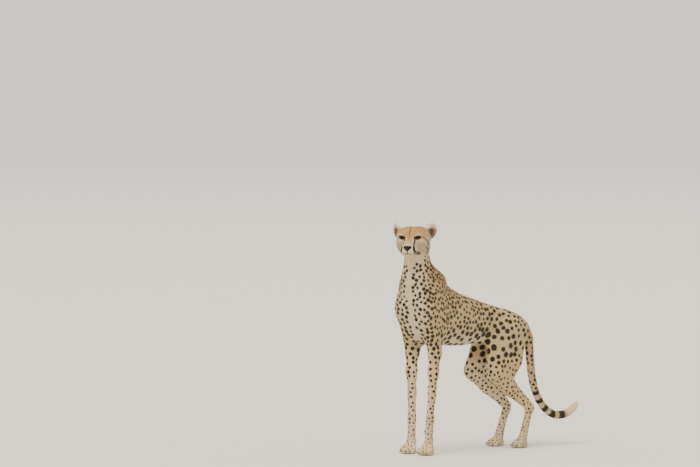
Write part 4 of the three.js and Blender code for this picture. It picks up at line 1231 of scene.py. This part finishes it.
def tuft_size(places, deep):
    """The length and width of the tufts, in millimetres, and how closely they cover the skin."""
    head = eased((places[:, 2] - 885) / 30) * (places[:, 1] < 90)
    legs = legs_of(places)
    length = (1.8 + 2.5 * deep) * (1 - head) + (2.8 + 1.9 * deep) * head
    width = length * (0.114 - 0.035 * head - 0.02 * (tail_of(places) > 0.5))
    feet = legs * eased((75 - places[:, 2]) / 20)
    return length, width, 1 - 0.25 * legs - 0.2 * feet


def lie_at(places):
    """The way the hair lies: back from the nose, down the neck and legs, along the trunk and tail."""
    x, y, z = places.T
    side = np.sign(x)
    v, u, w = on_head(places).T
    ones = np.ones(len(places))
    trunk = np.stack([0 * x, ones, -0.35 - 0.4 * eased((y - 560) / 90)], -1)
    chest = np.stack([0.15 * side, 0.2 * ones, -ones], -1)
    neck = np.stack([0 * x, 0.75 * ones, -ones], -1)
    lie = blend(trunk, neck, eased((z - 720 + 0.5 * y) / 80))
    lie = blend(lie, chest, eased((10 - y) / 70))
    legs = np.stack([0 * x, 0.25 * ones, -ones], -1)
    lie = blend(lie, legs, legs_of(places))
    foot = np.stack([0 * x, -ones, -0.35 * ones], -1)
    lie = blend(lie, foot, eased((62 - z) / 30) * (tail_of(places) < 0.5))
    head = np.stack([v, 128 - u, w + 38], -1)
    head /= np.linalg.norm(head, axis=1, keepdims=True)
    head = blend(head, np.broadcast_to((0, 0.8, -0.6), head.shape), eased((-20 - u) / 60))
    lie = blend(lie, head, eased((z - 880) / 30) * (y < 90))
    for eye in (1, -1):
        away = np.stack([v - eye * EYE[0], 0 * v, w - EYE[2]], -1)
        far = np.linalg.norm(away, axis=1)
        lie = blend(lie, away / np.maximum(far, 1)[:, None], np.exp(-((far / 19) ** 4)) * (u > 30))
    ear = np.stack([0.35 * side, 0.1 * ones, ones], -1)
    lie = blend(lie, ear, ear_share(places))
    at = along_tail(places)
    ahead, behind = (np.stack([np.interp(at + step, TAIL_AT, line) for line in TAIL_LINE.T], -1)
                     for step in (20, -20))
    along = ahead - behind
    along /= np.maximum(np.linalg.norm(along, axis=1, keepdims=True), 1e-9)
    return blend(lie, along, tail_of(places))


def flat_on(directions, outward):
    """Directions laid flat on the skin, one unit long."""
    flat = directions - (directions * outward).sum(1, keepdims=True) * outward
    return flat / np.maximum(np.linalg.norm(flat, axis=1, keepdims=True), 1e-9)


def posed_directions(places, directions):
    """Directions at straight places, turned with the pose."""
    step = np.asarray(directions, float)
    turned = bent(np.asarray(places, float) + step * 0.5) - bent(places)
    return turned / np.maximum(np.linalg.norm(turned, axis=-1, keepdims=True), 1e-9)


points = points_of(skin.data)
place = straight(points)
normals = normals_of(skin.data)
lie = flat_on(posed_directions(place, lie_at(place)), normals)
lie = flat_on(averaged(lie, edges_of(skin.data), 0.6, 12), normals)
deep = coat_depth(place)

# How long and wide a tuft is, and how many there are, follow the depth of the coat. None grow on the nose,
# in the opening of the lids, along the mouth or under the feet.
length, width, cover = tuft_size(place, deep)
corners, areas = triangles_of(skin.data)
face = on_head(place)
bald = nose_zone(face) & (inside_nose(face) > 0.7)
for side in (1, -1):
    local = (face - EYE * np.array([side, 1, 1])) @ eye_axes(side).T
    off, lid = lid_edge(local[:, 0], local[:, 1])
    bald |= (local[:, 2] > 0) & (off < 0.6) & (np.linalg.norm(local, axis=1) < 26)
bald |= (place[:, 2] < 1.5) & (normals[:, 2] < -0.5)
bald |= from_mouth(place) < MOUTH_BARE
crowd = np.where(bald, 0, cover / (length * width))
weights = areas * crowd[corners].min(1)
rng = np.random.default_rng(17)
rooted, shares = spread_over(corners, weights, TUFTS, rng)
root = mixed(points, rooted, shares)
out = mixed(normals, rooted, shares)
out /= np.linalg.norm(out, axis=1, keepdims=True)
swirl = rng.normal(0, DISORDER, (TUFTS, 3))
lay = flat_on(mixed(lie, rooted, shares) + swirl, out)
deep = (deep[rooted] * shares).sum(1)
length, width, _ = tuft_size(straight(root), deep)
length = length * rng.uniform(0.8, 1.15, TUFTS) / 1000
width = width * rng.uniform(0.85, 1.15, TUFTS) / 1000

# The tips and the thickest places keep to the skin below them, however it curves.
skin_now = BVHTree.FromPolygons([tuple(p) for p in points], [tuple(c) for c in corners])


def over_skin(places, height):
    """The places moved to a height over the skin that is nearest them."""
    moved = np.empty_like(places)
    facing = np.empty_like(places)
    for i, at in enumerate(places):
        hit, normal, _, _ = skin_now.find_nearest(at)
        moved[i] = hit
        facing[i] = normal
    return moved + facing * height[:, None], facing


middle_height = deep * 0.00045 * rng.uniform(0.6, 1.4, TUFTS)
middle, middle_out = over_skin(root + lay * (length * TUFT_MIDDLE)[:, None], middle_height)
tip_height = deep * 0.00075 * rng.uniform(0.4, 1.1, TUFTS)
tip, _ = over_skin(root + lay * length[:, None], tip_height)
start = root - out * TUFT_START
across = np.cross(middle_out, tip - start)
across /= np.maximum(np.linalg.norm(across, axis=1, keepdims=True), 1e-12)
ridge = middle + middle_out * (width * 0.28)[:, None]
left = middle + across * (width * 0.5)[:, None]
right = middle - across * (width * 0.5)[:, None]
tuft_points = np.stack([start, left, ridge, right, tip], 1)
TUFT_FACES = np.array([(0, 2, 1), (0, 3, 2), (0, 1, 3), (1, 2, 4), (2, 3, 4), (3, 1, 4)])
TUFT_PATCH = np.array([(0, 0), (-0.5, 0.45), (0, 0.5), (0.5, 0.45), (0, 1)]) * PATCH

root_place = straight(root)
shown = straight(root + lay * (length * 0.5)[:, None])
tuft_out = straight(root + out * 0.001) - root_place
tuft_out /= np.linalg.norm(tuft_out, axis=1, keepdims=True)
colour = ground_at(shown, tuft_out)
outside, strength = marks_at(shown)
soft = np.where((root_place[:, 2] > HEAD_LOW) & (root_place[:, 1] < HEAD_BACK), 0.6, 1.2)
inside = eased(0.5 - (outside - 0.5) / soft / 2 + rng.normal(0, 0.12, TUFTS)) * strength
colour = blend(colour, np.broadcast_to(DARK, colour.shape), inside)
colour *= rng.uniform(0.86, 1.1, TUFTS)[:, None]

# The pieces of the coat, each with its own unwrap of the skin: around the part and along it.
x, y, z = root_place.T
v, u, w = on_head(root_place).T


def around(across, ahead):
    """The angle round a part, from straight ahead."""
    return np.arctan2(across, ahead)


def ball_map(direction, up, ahead):
    """Half of a round form, seen from its side, spread out evenly."""
    reach = np.sqrt(direction**2 + up**2 + ahead**2)
    turn = np.arctan2(up, ahead)
    far = np.sqrt(np.clip(1 - np.abs(direction) / reach, 0, 1))
    return far * np.cos(turn), far * np.sin(turn)


on_ears = ear_share(root_place) > 0.5
on_tail = tail_of(root_place) > 0.5
on_skull = (z > 893) & (y < 80) & ~on_ears
on_neck = (z > 735 - 0.2 * np.minimum(y, 60)) & (y < 50) & ~on_skull & ~on_ears
on_legs = (legs_of(root_place) > 0.5) & ~on_tail
fore = y < 180
across_ear, up_ear, _ = on_ear(root_place)
ear_front = (tuft_out[:, 0] * np.sign(v) * math.sin(EAR_YAW) - tuft_out[:, 1] * math.cos(EAR_YAW)) > 0
head_s, head_t = ball_map(v / 95, (w + 22) / 75, (u - 22) / 100)
spine_turn = around(x, z - 635)
neck_turn_about = around(x, -(y - np.interp(z, [740, 900], [-15, -35])))
leg_x = np.where(fore, np.interp(z, [0, 300, 500], [62, 60, 70]), np.interp(z, [0, 200, 430], [70, 72, 75]))
leg_y = np.where(fore, np.interp(z, [0, 50, 350, 500], [-30, 5, 5, 20]),
                 np.interp(z, [0, 50, 250, 340, 430], [530, 560, 575, 505, 500]))
leg_turn = around((np.abs(x) - leg_x), y - leg_y)
tail_at = along_tail(root_place)
tail_y = np.interp(tail_at, TAIL_AT, TAIL_LINE[:, 1])
tail_z = np.interp(tail_at, TAIL_AT, TAIL_LINE[:, 2])
tail_x = np.interp(tail_at, TAIL_AT, TAIL_LINE[:, 0])
slope = np.interp(tail_at, TAIL_AT, np.gradient(TAIL_LINE[:, 2], TAIL_AT))
tail_turn = around(x - tail_x, (y - tail_y) * -slope + (z - tail_z) * np.sqrt(np.maximum(1 - slope**2, 0)))
on_trunk = ~(on_ears | on_tail | on_skull | on_neck | on_legs)
coat_parts = {}  # which tufts a part has, and their places on its unwrap
for word, half in (("left", x > 0), ("right", x <= 0)):
    coat_parts[f"coat_head_{word}"] = (on_skull & half, head_s, head_t)
    coat_parts[f"coat_ear_{word}"] = (on_ears & half, across_ear + 70 * ear_front, up_ear)
    coat_parts[f"coat_neck_{word}"] = (on_neck & half, neck_turn_about, z)
    coat_parts[f"coat_shoulder_{word}"] = (on_trunk & half & (y < 190), spine_turn, y)
    coat_parts[f"coat_flank_{word}"] = (on_trunk & half & (y >= 190) & (y < 430), spine_turn, y)
    coat_parts[f"coat_rump_{word}"] = (on_trunk & half & (y >= 430), spine_turn, y)
    coat_parts[f"coat_foreleg_{word}"] = (on_legs & half & fore & (z >= 70), leg_turn, z)
    coat_parts[f"coat_fore_foot_{word}"] = (on_legs & half & fore & (z < 70), leg_turn, z)
    coat_parts[f"coat_hind_leg_{word}"] = (on_legs & half & ~fore & (z >= 70), leg_turn, z)
    coat_parts[f"coat_hind_foot_{word}"] = (on_legs & half & ~fore & (z < 70), leg_turn, z)
coat_parts["coat_tail"] = (on_tail, tail_turn, tail_at)

fur, nodes, links, surface = new_paint("spotted_fur")
where = node("ShaderNodeTexCoord").outputs["Object"]
hair = node("ShaderNodeAttribute", attribute_name="hair_colour").outputs["Color"]
strands = spread_out(noise(where, 1800, 2), 0.3, 0.7, 0.88, 1.06)
links.new(colour_mix(1.0, hair, strands, "MULTIPLY"), surface.inputs["Base Color"])
surface.inputs["Roughness"].default_value = 0.78
surface.inputs["Specular IOR Level"].default_value = 0.25
surface.inputs["Sheen Weight"].default_value = 0.15
surface.inputs["Sheen Roughness"].default_value = 0.5


def coat_piece(name, mask, s, t):
    """One piece of the coat: the tufts that mask marks, with their patches at s, t on the unwrap."""
    count = int(mask.sum())
    faces = (TUFT_FACES[None] + 5 * np.arange(count)[:, None, None]).reshape(-1)
    mesh = bpy.data.meshes.new(name)
    mesh.vertices.add(count * 5)
    mesh.vertices.foreach_set("co", tuft_points[mask].astype(np.float32).ravel())
    mesh.loops.add(len(faces))
    mesh.loops.foreach_set("vertex_index", faces.astype(np.int32))
    mesh.polygons.add(len(faces) // 3)
    mesh.polygons.foreach_set("loop_start", np.arange(0, len(faces), 3, dtype=np.int32))
    mesh.update(calc_edges=True)
    mesh.validate()
    tint = colour[mask][:, None, :] * np.array(TUFT_ROOT_TO_TIP)[None, :, None]
    keep(mesh, "hair_colour", "FLOAT_COLOR", np.clip(tint, 0, 1).reshape(-1, 3))
    at = np.stack([s[mask], t[mask]], -1)
    low, high = np.percentile(at, (0.2, 99.8), axis=0)
    at = 0.01 + 0.97 * np.clip((at - low) / (high - low), 0, 1)
    patches = (at[:, None] + TUFT_PATCH).reshape(-1, 2)[faces]
    layer = mesh.uv_layers.new(name="OFBake")
    layer.data.foreach_set("uv", patches.astype(np.float32).ravel())
    piece = bpy.data.objects.new(name, mesh)
    bpy.context.scene.collection.objects.link(piece)
    mesh.materials.append(fur)
    mesh.polygons.foreach_set("use_smooth", np.ones(len(mesh.polygons), bool))
    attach(piece, "root")
    return piece


for name, (mask, s, t) in coat_parts.items():
    coat_piece(name, mask, s, t)

# ---------------------------------------------------------------- whiskers
# Stiff fine white whiskers in rows on each side of the muzzle, swept back, and a few over each eye.

WHISKER_ROOTS = [  # forward and upward on the head, on each side of it
    (104, -52), (108, -57), (101, -58), (104, -63), (96, -54), (97, -62), (110, -62), (107, -67),
]
BROW_ROOTS = [(27, 76, 17), (31, 74, 18), (35, 71, 18)]
WHISKER_RADIUS = 0.22
BROW_RADIUS = 0.16


def hair_line(root, way, length, droop, thick, steps=7):
    """A curved tapering hair on the head, from a head place along a head direction."""
    way = np.array(way, float)
    way /= np.linalg.norm(way)
    t = np.linspace(0, 1, steps)[:, None]
    line = np.array(root) + way * length * t + np.array([0, -0.4 * length, -droop]) * t**2
    return posed(face_place(*line.T)), thick * (1 - 0.9 * t[:, 0])


hairs = round_lines("whiskers", 1)
hairs.use_fill_caps = True
for side in (1, -1):
    for i, (u, w) in enumerate(WHISKER_ROOTS):
        length = 30 + 6 * ((i * 5) % 3)
        hit = surface_towards((side * 70, u, w), (-side, 0, 0))
        root = on_head(np.array([hit]))[0] - np.array([side, 0, 0]) * 0.6
        way = (side, 0.1, 0.12 - 0.05 * (i % 4))
        add_line(hairs, *hair_line(root, way, length, 9 + 2 * (i % 3), WHISKER_RADIUS))
    for i, (v, u, w) in enumerate(BROW_ROOTS):
        root = on_head(np.array([on_skin(face_place(side * v, u, w))]))[0]
        way = (side * 0.35, 0.35, 1)
        add_line(hairs, *hair_line(root, way, 24 - 3 * i, -2, BROW_RADIUS))
whiskers = made_solid(hairs)
white_hair, nodes, links, surface = new_paint("white_hair")
where = node("ShaderNodeTexCoord").outputs["Object"]
hair_tone = colour_mix(noise(where, 60, 2), (0.62, 0.57, 0.5, 1), (0.85, 0.81, 0.74, 1))
links.new(hair_tone, surface.inputs["Base Color"])
surface.inputs["Roughness"].default_value = 0.4
whiskers.data.materials.append(white_hair)
bpy.ops.object.shade_smooth()
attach(whiskers, "root")
